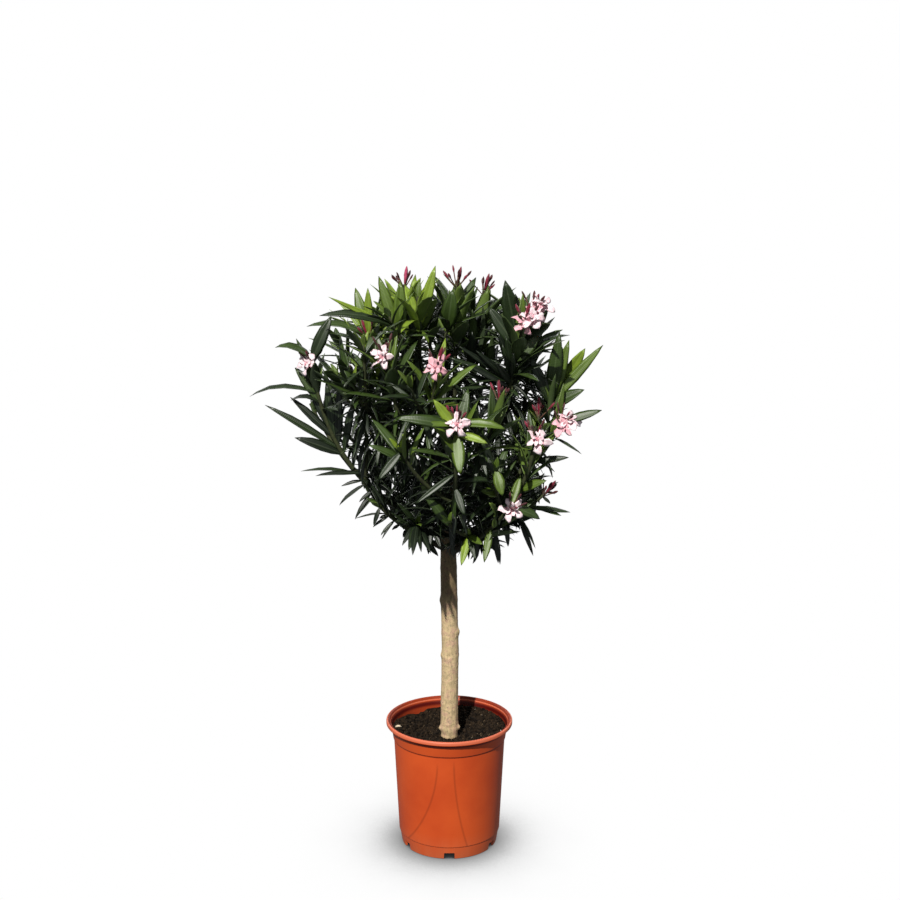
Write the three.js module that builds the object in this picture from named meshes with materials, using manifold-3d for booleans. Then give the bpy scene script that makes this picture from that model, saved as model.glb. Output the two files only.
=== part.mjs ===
// A potted oleander grown as a small standard tree: a bare stem with a bushy flowering head,
// in a round terracotta-coloured nursery pot filled with peat.
// Millimetres, +Z up. The origin is the centre of the pot's underside, and the plant faces -Y.

import * as THREE from "three";
import { mergeVertices } from "three/addons/utils/BufferGeometryUtils.js";
import Module from "manifold-3d";

const wasm = await Module();
wasm.setup();

// ---------------------------------------------------------------- driving dimensions

const CLEARANCE = 0.35; // gap between neighbouring solids
const ROUND_SIDES = 28; // facets round the pot and the peat

const POT = {
  height: 244,
  rimRadius: 120,
  lipInnerRadius: 114.5,
  lipHeight: 8,
  lipEdge: 1.8, // the lip's rounded edges
  collarTopRadius: 111.5,
  collarBottomRadius: 107,
  collarBottom: 209,
  bodyTopRadius: 105.4,
  bodyBottomRadius: 96.4,
  footHeight: 25,
  footTopRadius: 95,
  footRadius: 91,
  footInnerRadius: 87,
  wall: 2.2,
  channelTop: 15, // underside of the raised ring that drains through the notches
  padRadius: 62, // middle of the floor, which stands on the ground
  channelSlope: 3,
  notches: 6,
  notchWidth: 20,
  notchHeight: 13,
  notchDepth: 20,
};

// The peat lies in a shallow dish: low round the stem, heaped against the wall.
const PEAT = { level: 207, flatRadius: 34, slopeRadius: 66, slopeLevel: 217, wallLevel: 228, brow: 6 };

const TRUNK = {
  top: 705,
  flareRadius: 20.5,
  footRadius: 17.6,
  middleRadius: 16,
  tipRadius: 12.5,
  flareHeight: 34,
  bow: 1.6,
  sides: 12,
  steps: 14,
};

const BOUGH = {
  share: 0.2, // of a limb's whole line; the rest is the stem inside its leaf mass
  baseRadius: 7.4,
  endRadius: 5.2,
  sides: 5,
  steps: 3,
};

const TWIG = {
  sides: 3,
  steps: 3,
  baseRadius: 5.2,
  tipRadius: 3.4,
  sideRadius: 4.2,
  kneeAside: 0.2, // how far a side shoot bends out at its middle, of its sideways reach
  kneeSag: 0.06, // and how far it hangs there, of its limb's rise
  pointsApart: 12, // between the points that measure nearness to a shoot
};

const LEAF = {
  young: { length: 132, width: 30 }, // near a shoot's tip
  old: { length: 92, width: 22 }, // low on a shoot
  thickness: 1.7,
  widest: 0.46, // share of the length
  arch: 0.055, // of the length
  whorl: 3,
  spacing: 33, // between whorls along a shoot
  stagger: 9, // between the leaves of one whorl
  tipAngle: 36, // degrees from the shoot's line
  baseAngle: 84,
  swing: 12, // most by which that angle is off, either way and together
  twist: 0.5, // radians, most by which a whorl is turned
  uneven: 0.2, // most by which leaves differ in length
  ageing: 1.6, // how late along a shoot leaves turn small
  opening: 0.8, // and how early they open out
  droop: 0.7, // pull of gravity on the lowest leaves
  footGap: 0.07, // bare share at a shoot's foot
  shortenings: [1, 0.84, 0.66], // of its length, tried in turn where a leaf finds no room
  closings: [1, 0.72, 0.5], // and of its angle from the shoot
};

// The outline of the whole head: how far from the trunk's line a leaf may reach at each height,
// and how far the head's middle is off to the side there.
const HEAD = [
  { height: 530, reach: 84, aside: 34 },
  { height: 575, reach: 122, aside: 36 },
  { height: 645, reach: 200, aside: 22 },
  { height: 692, reach: 208, aside: -6 },
  { height: 740, reach: 246, aside: -24 },
  { height: 805, reach: 284, aside: -22 },
  { height: 870, reach: 322, aside: -48 },
  { height: 960, reach: 304, aside: -20 },
  { height: 1004, reach: 236, aside: -32 },
  { height: 1044, reach: 196, aside: -14 },
  { height: 1070, reach: 160, aside: -16 },
  { height: 1090, reach: 100, aside: -30 },
  { height: 1106, reach: 44, aside: -26 },
];

const FLOWER = {
  petals: 5,
  length: 27,
  width: 19,
  thickness: 1.6,
  widest: 0.62,
  cup: 66, // degrees from the way the flower faces to its petals
  lift: 0.45, // how much it looks up
  turn: 0.25, // of a petal's share of the round
  hub: 6,
};
const BUDS = { count: 2, length: 30, width: 8, widest: 0.6, lean: 24, middleLength: 44, rise: 0.5 };

const FIRST_SEED = 221; // each mass takes the next one

// Room kept round a leaf: it stays this much nearer to its own shoots than to another mass's, its
// midline this far from other leaves of its mass, and no more than a touch inside any of them.
const ROOM = { mass: 4, leaf: 9, touch: 1 };

// Three forms of limb: how far out and how far up the bend of its line lies, then its two side
// shoots: where they leave it, and how far their tips stand sideways, outwards and upwards from
// the limb's own tip, as shares of its reach and its rise.
const FORMS = {
  low: {
    bend: { out: 0.62, up: 0.42 },
    sides: [
      { leaves: 0.42, aside: 0.48, outwards: -0.16, upwards: 0.05 },
      { leaves: 0.48, aside: -0.48, outwards: -0.24, upwards: -0.2 },
    ],
  },
  middle: {
    bend: { out: 0.9, up: 0.28 },
    sides: [
      { leaves: 0.44, aside: 0.32, outwards: -0.26, upwards: 0.1 },
      { leaves: 0.5, aside: -0.38, outwards: -0.06, upwards: -0.22 },
    ],
  },
  top: {
    bend: { out: 0.75, up: 0.36 },
    sides: [
      { leaves: 0.46, aside: 0.48, outwards: -0.1, upwards: -0.04 },
      { leaves: 0.5, aside: -0.48, outwards: -0.06, upwards: -0.16 },
    ],
  },
};
const LEAST_REACH = 0.36; // of the rise, used for side shoots where a limb reaches out less

// Each limb: its form, the height where it leaves the trunk, the azimuth of its tip in degrees
// from +X, the tip's distance out from the trunk's line and its height, what its three shoots
// carry, and on which hand the taller side shoot grows.
const LIMBS = {
  low_front: reaching("low", 570, 302, 200, 698, ["open", "bud", "leaf"], 1),
  low_left: reaching("low", 576, 212, 146, 676, ["leaf", "leaf", "leaf"], -1),
  low_back: reaching("low", 572, 118, 164, 690, ["leaf", "leaf", "leaf"], 1),
  low_right: reaching("low", 578, 14, 150, 668, ["leaf", "leaf", "leaf"], 1),
  left: reaching("middle", 608, 202, 258, 942, ["open", "leaf", "leaf"], 1),
  front: reaching("middle", 616, 273, 240, 861, ["open", "bud", "leaf"], 1),
  right_front: reaching("middle", 600, 313, 217, 819, ["open", "bud", "leaf"], 1),
  right: reaching("middle", 628, 5, 206, 882, ["leaf", "leaf", "leaf"], 1),
  back_right: reaching("middle", 608, 58, 226, 892, ["open", "leaf", "leaf"], 1),
  back_left: reaching("middle", 618, 138, 236, 880, ["open", "bud", "leaf"], -1),
  high_left: reaching("top", 640, 174, 150, 994, ["leaf", "bud", "leaf"], 1),
  top_front: reaching("top", 650, 236, 194, 962, ["open", "bud", "leaf"], 1),
  top_left: reaching("top", 672, 190, 82, 1068, ["bud", "leaf", "leaf"], 1),
  top_middle: reaching("top", 696, 300, 26, 1068, ["bud", "bud", "leaf"], 1),
  top_right: reaching("top", 664, 356, 150, 1026, ["open", "bud", "leaf"], -1),
  top_back: reaching("top", 652, 92, 150, 1012, ["bud", "leaf", "leaf"], 1),
};

function reaching(form, start, azimuth, out, height, blooms, turn) {
  return { form, start, azimuth, out, height, blooms, turn };
}

// The bare stalk between a shoot's last leaves and what it carries.
const STALK = { open: 42, bud: 66, leaf: 0 };
const SHOOT_END = 0.985; // where the last leaves and buds are rooted, of a shoot's line
const MIDLINE = [0.2, 0.35, 0.5, 0.65, 0.8, 1]; // shares of a leaf at which its room is tested

// ---------------------------------------------------------------- small helpers

const UP = new THREE.Vector3(0, 0, 1);
const radians = THREE.MathUtils.degToRad;
const mix = THREE.MathUtils.lerp;

function seeded(seed) {
  let state = seed >>> 0;
  return () => {
    state = (Math.imul(state, 1664525) + 1013904223) >>> 0;
    return state / 2 ** 32;
  };
}

function toSolid(geometry) {
  const bare = geometry.clone();
  bare.deleteAttribute("normal");
  bare.deleteAttribute("uv");
  const merged = mergeVertices(bare, 1e-4);
  return new wasm.Manifold(
    new wasm.Mesh({
      numProp: 3,
      vertProperties: merged.attributes.position.array,
      triVerts: new Uint32Array(merged.index.array),
    }),
  );
}

function toGeometry(solid) {
  const made = solid.getMesh();
  return new THREE.BufferGeometry()
    .setAttribute("position", new THREE.BufferAttribute(made.vertProperties, 3))
    .setIndex(new THREE.BufferAttribute(made.triVerts, 1));
}

// Fusing can leave a loose scrap or seal a small hollow: the largest closed body is kept.
function fuse(solids) {
  const bodies = wasm.Manifold.union(solids).decompose();
  return bodies.reduce((a, b) => (b.volume() > a.volume() ? b : a));
}

function lathe(profile) {
  const points = profile.map(([radius, height]) => new THREE.Vector2(radius, height));
  return new THREE.LatheGeometry(points, ROUND_SIDES).rotateX(Math.PI / 2);
}

// A tapering limb: a cylinder bent along the stretch of a curve between two shares of its length.
function taper(curve, from, to, radiusAt, sides, steps) {
  const geometry = new THREE.CylinderGeometry(1, 1, 1, sides, steps);
  const place = geometry.attributes.position;
  for (let i = 0; i < place.count; i++) {
    const share = place.getY(i) + 0.5;
    const t = mix(from, to, share);
    const along = curve.getTangentAt(t);
    const across = new THREE.Vector3(1, 0, 0).addScaledVector(along, -along.x).normalize();
    const over = new THREE.Vector3().crossVectors(across, along);
    const radius = radiusAt(share);
    const p = curve
      .getPointAt(t)
      .addScaledVector(across, place.getX(i) * radius)
      .addScaledVector(over, place.getZ(i) * radius);
    place.setXYZ(i, p.x, p.y, p.z);
  }
  return toSolid(geometry);
}

// A blade of 8 faces, for leaves, petals and buds: an octahedron drawn out from its root along a
// direction, lying square to normal, with its middle lifted by arch.
function blade(root, direction, normal, { length, width, thickness, widest = 0.5, arch = 0 }) {
  const geometry = new THREE.OctahedronGeometry(1, 0);
  const place = geometry.attributes.position;
  const side = new THREE.Vector3().crossVectors(normal, direction);
  for (let i = 0; i < place.count; i++) {
    const middle = Math.abs(place.getY(i)) < 0.5;
    const share = middle ? widest : (place.getY(i) + 1) / 2;
    const p = root
      .clone()
      .addScaledVector(direction, share * length)
      .addScaledVector(side, (-place.getX(i) * width) / 2)
      .addScaledVector(normal, (place.getZ(i) * thickness) / 2 + (middle ? arch * length : 0));
    place.setXYZ(i, p.x, p.y, p.z);
  }
  return toSolid(geometry);
}

// ---------------------------------------------------------------- pot and peat

function potInside(height) {
  const share = (height - POT.footHeight) / (POT.collarBottom - POT.footHeight);
  return mix(POT.bodyBottomRadius, POT.bodyTopRadius, share) - POT.wall;
}

function collarInside(height) {
  const bottom = POT.collarBottom - 1;
  const share = (height - bottom) / (POT.height - POT.lipHeight - bottom);
  return mix(potInside(POT.collarBottom), POT.collarTopRadius - POT.wall, share);
}

function makePot() {
  const p = POT;
  const lipBottom = p.height - p.lipHeight;
  const floor = p.channelTop + p.wall;
  const profile = [
    [0, 0],
    [p.padRadius, 0],
    [p.padRadius + p.channelSlope, p.channelTop],
    [p.footInnerRadius - 1, p.channelTop],
    [p.footInnerRadius, 0],
    [p.footRadius, 0],
    [p.footTopRadius, p.footHeight - 1],
    [p.bodyBottomRadius, p.footHeight],
    [p.bodyTopRadius, p.collarBottom - 1],
    [p.collarBottomRadius, p.collarBottom],
    [p.collarTopRadius, lipBottom],
    [p.rimRadius - p.lipEdge, lipBottom],
    [p.rimRadius, lipBottom + p.lipEdge],
    [p.rimRadius, p.height - p.lipEdge],
    [p.rimRadius - p.lipEdge, p.height],
    [p.lipInnerRadius, p.height],
    [p.collarTopRadius - p.wall, lipBottom],
    [potInside(p.collarBottom), p.collarBottom - 1],
    [potInside(floor), floor],
    [p.padRadius + p.channelSlope - p.wall, floor],
    [p.padRadius - p.wall, p.wall],
    [0, p.wall],
  ];
  let pot = toSolid(lathe(profile));
  for (let i = 0; i < p.notches; i++) {
    const notch = new THREE.BoxGeometry(p.notchWidth, p.notchDepth, 2 * p.notchHeight);
    notch.translate(0, -p.footRadius, 0).rotateZ((2 * Math.PI * i) / p.notches);
    pot = pot.subtract(toSolid(notch));
  }
  return pot;
}

function makePeat() {
  const { level, flatRadius, slopeRadius, slopeLevel, wallLevel, brow } = PEAT;
  const floor = POT.channelTop + POT.wall + CLEARANCE;
  const pad = POT.wall + CLEARANCE;
  const padEdge = POT.padRadius - POT.wall - CLEARANCE;
  const collar = POT.collarBottom - 1;
  return toSolid(
    lathe([
      [0, pad],
      [padEdge, pad],
      [padEdge + POT.channelSlope, floor],
      [potInside(floor) - CLEARANCE, floor],
      [potInside(collar) - CLEARANCE, collar],
      [collarInside(wallLevel) - CLEARANCE, wallLevel],
      [collarInside(wallLevel) - brow, wallLevel + 1],
      [slopeRadius, slopeLevel],
      [flatRadius, level],
      [0, level],
    ]),
  );
}

// ---------------------------------------------------------------- trunk and boughs

const trunkFoot = PEAT.level + CLEARANCE;

const trunkLine = new THREE.CatmullRomCurve3([
  new THREE.Vector3(0, 0, trunkFoot),
  new THREE.Vector3(0, 0, trunkFoot + TRUNK.flareHeight),
  new THREE.Vector3(TRUNK.bow, -TRUNK.bow, mix(trunkFoot, TRUNK.top, 0.35)),
  new THREE.Vector3(-TRUNK.bow, 0, mix(trunkFoot, TRUNK.top, 0.7)),
  new THREE.Vector3(0, 0, TRUNK.top),
]);

function trunkRadius(share) {
  const t = TRUNK;
  const height = share * (t.top - trunkFoot);
  const flare = Math.max(0, 1 - height / t.flareHeight) ** 2;
  const body =
    share < 0.5
      ? mix(t.footRadius, t.middleRadius, share * 2)
      : mix(t.middleRadius, t.tipRadius, (share * 2 - 1) ** 2);
  return body + (t.flareRadius - t.footRadius) * flare;
}

function makeTrunk(extra = 0) {
  const radius = (share) => trunkRadius(share) + extra;
  return taper(trunkLine, 0, 1, radius, TRUNK.sides, TRUNK.steps);
}

// The whole line of a limb, from the trunk's own line to the tip of its main shoot.
function limbLine({ form, start, azimuth, out, height }) {
  const { bend } = FORMS[form];
  const angle = radians(azimuth);
  const at = (distance, z) =>
    new THREE.Vector3(distance * Math.cos(angle), distance * Math.sin(angle), z);
  return new THREE.QuadraticBezierCurve3(
    at(0, start),
    at(out * bend.out, mix(start, height, bend.up)),
    at(out, height),
  );
}

function makeBough(line, trunkSpace) {
  const radius = (share) => mix(BOUGH.baseRadius, BOUGH.endRadius, share);
  const whole = taper(line, 0, BOUGH.share, radius, BOUGH.sides, BOUGH.steps);
  return fuse([whole.subtract(trunkSpace)]);
}

// ---------------------------------------------------------------- leaf masses

// A limb's shoots: the main one, which carries on from the bough, and the side shoots.
function shootsOf(limb, line) {
  const angle = radians(limb.azimuth);
  const outwards = new THREE.Vector3(Math.cos(angle), Math.sin(angle), 0);
  const aside = new THREE.Vector3(-outwards.y, outwards.x, 0).multiplyScalar(limb.turn);
  const from = BOUGH.share + CLEARANCE / line.getLength();
  const main = { line, from, radius: TWIG.baseRadius, bloom: limb.blooms[0] };
  const rise = limb.height - limb.start;
  const reach = Math.max(limb.out, rise * LEAST_REACH);
  const sides = FORMS[limb.form].sides.map((side, i) => {
    const start = line.getPointAt(side.leaves);
    const tip = line
      .getPointAt(1)
      .addScaledVector(aside, side.aside * reach)
      .addScaledVector(outwards, side.outwards * reach)
      .addScaledVector(UP, side.upwards * rise);
    const knee = start
      .clone()
      .lerp(tip, 0.5)
      .addScaledVector(aside, side.aside * reach * TWIG.kneeAside)
      .addScaledVector(UP, -TWIG.kneeSag * rise);
    return {
      line: new THREE.QuadraticBezierCurve3(start, knee, tip),
      from: 0,
      radius: TWIG.sideRadius,
      bloom: limb.blooms[i + 1],
    };
  });
  return [main, ...sides];
}

// Points along every shoot, which say how near a place is to each mass.
function skeletonOf(shoots) {
  return shoots.flatMap(({ line, from }) => {
    const count = Math.ceil((line.getLength() * (1 - from)) / TWIG.pointsApart);
    return Array.from({ length: count + 1 }, (_, i) => line.getPointAt(mix(from, 1, i / count)));
  });
}

const distanceTo = (points, p) => Math.min(...points.map((q) => q.distanceTo(p)));

// Places on a leaf that are tested: its midline and its two edges at the widest.
function leafPlaces(root, direction, normal, leaf) {
  const at = (share) =>
    root
      .clone()
      .addScaledVector(direction, share * leaf.length)
      .addScaledVector(normal, leaf.arch * leaf.length * Math.sin(Math.PI * share));
  const side = new THREE.Vector3().crossVectors(normal, direction).multiplyScalar(leaf.width / 2);
  const widest = [side, side.clone().negate()].map((edge) => at(LEAF.widest).add(edge));
  return [...MIDLINE.map(at), ...widest];
}

// Of those places, the ones that other leaves keep clear of: the midline without its foot.
function outerHalf(places) {
  return places.slice(1, MIDLINE.length);
}

function insideHead({ x, y, z }) {
  const above = HEAD.findIndex(({ height }) => height > z);
  if (above < 1) return false;
  const low = HEAD[above - 1];
  const high = HEAD[above];
  const share = (z - low.height) / (high.height - low.height);
  const middle = mix(low.aside, high.aside, share);
  return Math.hypot(x - middle, y) < mix(low.reach, high.reach, share);
}

// The way a leaf points and the way its face looks, at an angle from its shoot.
function leafDirections(along, radial, angle, droop) {
  const direction = along
    .clone()
    .multiplyScalar(Math.cos(angle))
    .addScaledVector(radial, Math.sin(angle))
    .addScaledVector(UP, -droop * Math.sin(angle))
    .normalize();
  const normal = along
    .clone()
    .multiplyScalar(Math.sin(angle))
    .addScaledVector(radial, -Math.cos(angle));
  normal.addScaledVector(direction, -normal.dot(direction)).normalize();
  return { direction, normal };
}

// The solids of one mass so far, each with its box, so that a new one is only compared with those
// it comes near.
class Grown {
  entries = [];

  keep(solid, shoot = null) {
    const { min, max } = solid.boundingBox();
    this.entries.push({ solid, min, max, shoot });
  }

  // Whether a leaf of a shoot cuts into anything but that shoot's own twig.
  cuts(leaf, shoot) {
    const { min, max } = leaf.boundingBox();
    const near = this.entries.filter(
      (e) => e.shoot !== shoot && e.min.every((v, k) => v < max[k] && e.max[k] > min[k]),
    );
    return near.some((e) => leaf.intersect(e.solid).volume() > ROOM.touch);
  }

  whole() {
    return fuse(this.entries.map(({ solid }) => solid));
  }
}

// A leaf that fits beside everything near it: as it would grow, or else closer to its shoot, or
// shorter, or else none.
function placeLeaf({ root, along, radial, wanted, age, size, shoot }, fits, grown) {
  for (const shortening of LEAF.shortenings) {
    for (const closing of LEAF.closings) {
      const angle = radians(wanted * closing);
      const { direction, normal } = leafDirections(along, radial, angle, LEAF.droop * age);
      const leaf = { ...LEAF, ...size, length: size.length * shortening };
      const places = leafPlaces(root, direction, normal, leaf);
      if (!fits(places)) continue;
      const solid = blade(root, direction, normal, leaf);
      if (grown.cuts(solid, shoot)) continue;
      grown.keep(solid);
      return outerHalf(places);
    }
  }
  return [];
}

// The whorls of one shoot, from its foot to its tip.
function whorlsOf(shoot) {
  const whole = shoot.line.getLength();
  const end = 1 - Math.max(STALK[shoot.bloom] / whole, 1 - SHOOT_END);
  const count = Math.max(3, Math.round((whole * (end - shoot.from)) / LEAF.spacing));
  return Array.from({ length: count }, (_, i) => {
    const age = 1 - (i + 1) / count; // 0 at the tip, nearly 1 at the foot
    const at = mix(shoot.from, end, 1 - (1 - LEAF.footGap) * age);
    return { age, at, half: i % 2, step: LEAF.stagger / whole };
  });
}

function makeMass(name, masses, limbSpaces, seed) {
  const random = seeded(seed);
  const { shoots, skeleton } = masses[name];
  const others = Object.keys(masses)
    .filter((other) => other !== name)
    .flatMap((other) => masses[other].skeleton);
  const grown = new Grown();
  const midlines = [];

  const fits = (places) =>
    insideHead(places[MIDLINE.length - 1]) &&
    places.every((p) => distanceTo(skeleton, p) + ROOM.mass < distanceTo(others, p)) &&
    places.every((p) => limbSpaces.every(({ points, room }) => distanceTo(points, p) > room)) &&
    outerHalf(places).every((p) => distanceTo(midlines, p) > ROOM.leaf);

  for (const shoot of shoots) {
    const radius = (share) => mix(shoot.radius, TWIG.tipRadius, share);
    grown.keep(taper(shoot.line, shoot.from, 1, radius, TWIG.sides, TWIG.steps), shoot);
    bloomOf(shoot).forEach((solid) => grown.keep(solid));
  }
  for (const shoot of shoots) {
    for (const { age, at, half, step } of whorlsOf(shoot)) {
      const turn = half * (Math.PI / LEAF.whorl) + random() * LEAF.twist;
      for (let i = 0; i < LEAF.whorl; i++) {
        const t = Math.max(at - step * i, shoot.from + 2 * step);
        const along = shoot.line.getTangentAt(t);
        const across = new THREE.Vector3(along.y, -along.x, 0.1).cross(along).normalize();
        const old = age ** LEAF.ageing;
        const open = mix(LEAF.tipAngle, LEAF.baseAngle, age ** LEAF.opening);
        const leaf = {
          root: shoot.line.getPointAt(t),
          along,
          radial: across.applyAxisAngle(along, turn + (2 * Math.PI * i) / LEAF.whorl),
          wanted: open + LEAF.swing * (random() - 0.5),
          age,
          size: {
            length:
              mix(LEAF.young.length, LEAF.old.length, old) * (1 + LEAF.uneven * (random() - 0.5)),
            width: mix(LEAF.young.width, LEAF.old.width, old),
          },
          shoot,
        };
        midlines.push(...placeLeaf(leaf, fits, grown));
      }
    }
  }
  return grown.whole();
}

function bloomOf({ bloom, line }) {
  if (bloom === "open") return flower(line);
  return bloom === "bud" ? buds(line) : [];
}

// An open flower that looks out of the head and a little up.
function flower(line) {
  const centre = line.getPointAt(1);
  const facing = new THREE.Vector3(centre.x, centre.y, 0)
    .normalize()
    .addScaledVector(UP, FLOWER.lift)
    .normalize();
  const level = new THREE.Vector3(-facing.y, facing.x, 0).normalize();
  const angle = radians(FLOWER.cup);
  const hub = new THREE.OctahedronGeometry(FLOWER.hub, 0).translate(centre.x, centre.y, centre.z);
  const petals = Array.from({ length: FLOWER.petals }, (_, i) => {
    const radial = level.clone().applyAxisAngle(facing, (2 * Math.PI * (i + FLOWER.turn)) / FLOWER.petals);
    const direction = facing
      .clone()
      .multiplyScalar(Math.cos(angle))
      .addScaledVector(radial, Math.sin(angle));
    const normal = facing
      .clone()
      .multiplyScalar(Math.sin(angle))
      .addScaledVector(radial, -Math.cos(angle));
    return blade(centre, direction, normal, FLOWER);
  });
  return [toSolid(hub), ...petals];
}

// A tuft of closed buds: a tall one in the middle and shorter ones round it.
function buds(line) {
  const root = line.getPointAt(SHOOT_END);
  const along = line.getTangentAt(1).lerp(UP, BUDS.rise).normalize();
  const across = new THREE.Vector3(1, 0, 0).cross(along).normalize();
  const shape = { ...BUDS, thickness: BUDS.width };
  const made = [blade(root, along, across, { ...shape, length: BUDS.middleLength })];
  for (let i = 0; i < BUDS.count; i++) {
    const radial = across.clone().applyAxisAngle(along, (2 * Math.PI * i) / BUDS.count);
    const angle = radians(BUDS.lean);
    const direction = along
      .clone()
      .multiplyScalar(Math.cos(angle))
      .addScaledVector(radial, Math.sin(angle));
    const normal = new THREE.Vector3().crossVectors(direction, radial).normalize();
    made.push(blade(root, direction, normal, { ...shape, length: BUDS.length }));
  }
  return made;
}

// ---------------------------------------------------------------- assembly

const finish = {
  plastic: new THREE.MeshStandardMaterial({ color: 0xc8501f, roughness: 0.4, metalness: 0 }),
  peat: new THREE.MeshStandardMaterial({ color: 0x2a1f16, roughness: 0.95, metalness: 0 }),
  bark: new THREE.MeshStandardMaterial({ color: 0xb79c6f, roughness: 0.85, metalness: 0 }),
  greenBark: new THREE.MeshStandardMaterial({ color: 0x6b6544, roughness: 0.8, metalness: 0 }),
  leaves: new THREE.MeshStandardMaterial({ color: 0x2f5a1e, roughness: 0.45, metalness: 0 }),
};

const plant = new THREE.Group();

function add(name, solid, material) {
  const mesh = new THREE.Mesh(toGeometry(solid), material);
  mesh.name = name;
  plant.add(mesh);
}

add("pot", makePot(), finish.plastic);
add("peat", makePeat(), finish.peat);
add("trunk", makeTrunk(), finish.bark);

const trunkSpace = makeTrunk(CLEARANCE);
const trunkPoints = trunkLine.getSpacedPoints(Math.round(TRUNK.top / TWIG.pointsApart));
const limbSpaces = [{ points: trunkPoints, room: TRUNK.footRadius + ROOM.leaf }];
const masses = {};
for (const [name, limb] of Object.entries(LIMBS)) {
  const line = limbLine(limb);
  add(`bough_${name}`, makeBough(line, trunkSpace), finish.greenBark);
  const steps = Math.ceil((BOUGH.share * line.getLength()) / TWIG.pointsApart) * 2;
  const points = Array.from({ length: steps + 1 }, (_, i) => line.getPointAt((BOUGH.share * i) / steps));
  limbSpaces.push({ points, room: BOUGH.baseRadius + ROOM.leaf });
  const shoots = shootsOf(limb, line);
  masses[name] = { shoots, skeleton: skeletonOf(shoots) };
}

Object.keys(LIMBS).forEach((name, i) => {
  add(`mass_${name}`, makeMass(name, masses, limbSpaces, FIRST_SEED + i), finish.leaves);
});

export default plant;
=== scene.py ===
# %% [markdown]
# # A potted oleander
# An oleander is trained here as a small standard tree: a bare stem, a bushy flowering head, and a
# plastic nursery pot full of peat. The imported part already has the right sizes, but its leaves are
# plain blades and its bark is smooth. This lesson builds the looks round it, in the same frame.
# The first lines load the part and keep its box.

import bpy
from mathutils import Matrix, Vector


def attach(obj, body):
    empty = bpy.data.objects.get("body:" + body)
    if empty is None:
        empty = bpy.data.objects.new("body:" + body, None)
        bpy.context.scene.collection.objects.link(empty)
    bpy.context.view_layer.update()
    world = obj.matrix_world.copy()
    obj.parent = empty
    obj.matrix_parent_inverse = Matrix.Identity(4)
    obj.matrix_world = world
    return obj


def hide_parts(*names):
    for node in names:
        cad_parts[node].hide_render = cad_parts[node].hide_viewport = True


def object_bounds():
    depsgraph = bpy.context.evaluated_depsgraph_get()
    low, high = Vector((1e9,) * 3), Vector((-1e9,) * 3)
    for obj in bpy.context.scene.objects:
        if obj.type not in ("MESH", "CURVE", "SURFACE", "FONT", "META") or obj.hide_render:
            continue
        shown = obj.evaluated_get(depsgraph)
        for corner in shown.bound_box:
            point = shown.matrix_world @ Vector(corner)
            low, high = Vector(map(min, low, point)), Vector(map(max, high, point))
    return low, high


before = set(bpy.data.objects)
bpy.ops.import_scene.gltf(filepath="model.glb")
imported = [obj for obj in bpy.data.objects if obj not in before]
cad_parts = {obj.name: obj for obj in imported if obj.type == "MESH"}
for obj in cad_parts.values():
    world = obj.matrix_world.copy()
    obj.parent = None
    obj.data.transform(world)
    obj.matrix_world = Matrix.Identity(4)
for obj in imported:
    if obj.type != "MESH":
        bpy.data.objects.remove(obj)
cad_box = [list(corner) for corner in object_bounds()]
print("nodes", len(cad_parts), "box", cad_box)

# %% [markdown]
# Blender works in metres, and the plant was drawn in millimetres. All sizes below stay in
# millimetres, as they are on a grower's label, and are scaled once, when a mesh is made.

# %% Tools and units
import math

import bmesh
import bpy
import numpy as np
from mathutils import Euler, Matrix, Vector, noise

MM = 0.001
UP = np.array([0.0, 0.0, 1.0])


def seeded(seed):
    """The same run of numbers between 0 and 1 each time, by the rule that the part's source uses."""
    state = seed % 2**32

    def step():
        nonlocal state
        state = (state * 1664525 + 1013904223) % 2**32
        return state / 2**32

    return step


def mix(a, b, share):
    return a + (b - a) * share


def unit(vector):
    return vector / np.linalg.norm(vector)


def square_to(vector, axis):
    """The part of a vector that stands square to an axis, one long."""
    return unit(vector - axis * np.dot(vector, axis))


def turned(vector, axis, angle):
    return (
        vector * math.cos(angle)
        + np.cross(axis, vector) * math.sin(angle)
        + axis * np.dot(axis, vector) * (1 - math.cos(angle))
    )


# %% [markdown]
# ## Camera and studio
# The plant is seen from a little above the pot's rim, from 2.5 metres away, so the camera looks
# down by 11 degrees. It stands on the plant's own front, and nothing is shifted.

# %% Camera
CAMERA_PLACE = (0.0013, -2.5157, 1.262)
CAMERA_DOWN = 11.19  # degrees below the level
CAMERA_LENS = 55.93  # mm, on a 36 mm sensor

camera = bpy.data.objects.new("camera", bpy.data.cameras.new("camera"))
camera.data.lens = CAMERA_LENS
camera.data.sensor_width = 36
camera.location = CAMERA_PLACE
camera.rotation_euler = (math.radians(90 - CAMERA_DOWN), 0, 0)
bpy.context.scene.collection.objects.link(camera)
bpy.context.scene.camera = camera
print("camera", CAMERA_PLACE, "looks down by", CAMERA_DOWN)

# %% [markdown]
# A sun lamp from high on the front left makes the crisp light and shade that leaves have outdoors.
# Two large soft lamps fill it in from the sides. Two more stand behind the plant, for whoever walks
# round it, and leave hardly any shine on the leaves' edges.

# %% Lamps
SUN_FROM = Euler((math.radians(46), 0, math.radians(-18)))  # tilt from overhead, then round
BACK_LAMPS = [("soft_back_right", 30, (1.2, 2.6, 2.2)), ("soft_back_left", 24, (-1.5, 2.5, 2.0))]
BACK_SHINE = 0.15


def add_lamp(name, kind, energy, place=(0, 0, 3), size=None, aim=None):
    lamp = bpy.data.objects.new(name, bpy.data.lights.new(name, kind))
    lamp.data.energy = energy
    lamp.location = place
    if size:
        lamp.data.size = size
    if aim:
        lamp.rotation_euler = (Vector(aim) - Vector(place)).to_track_quat("-Z", "Y").to_euler()
    bpy.context.scene.collection.objects.link(lamp)
    return lamp


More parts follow.
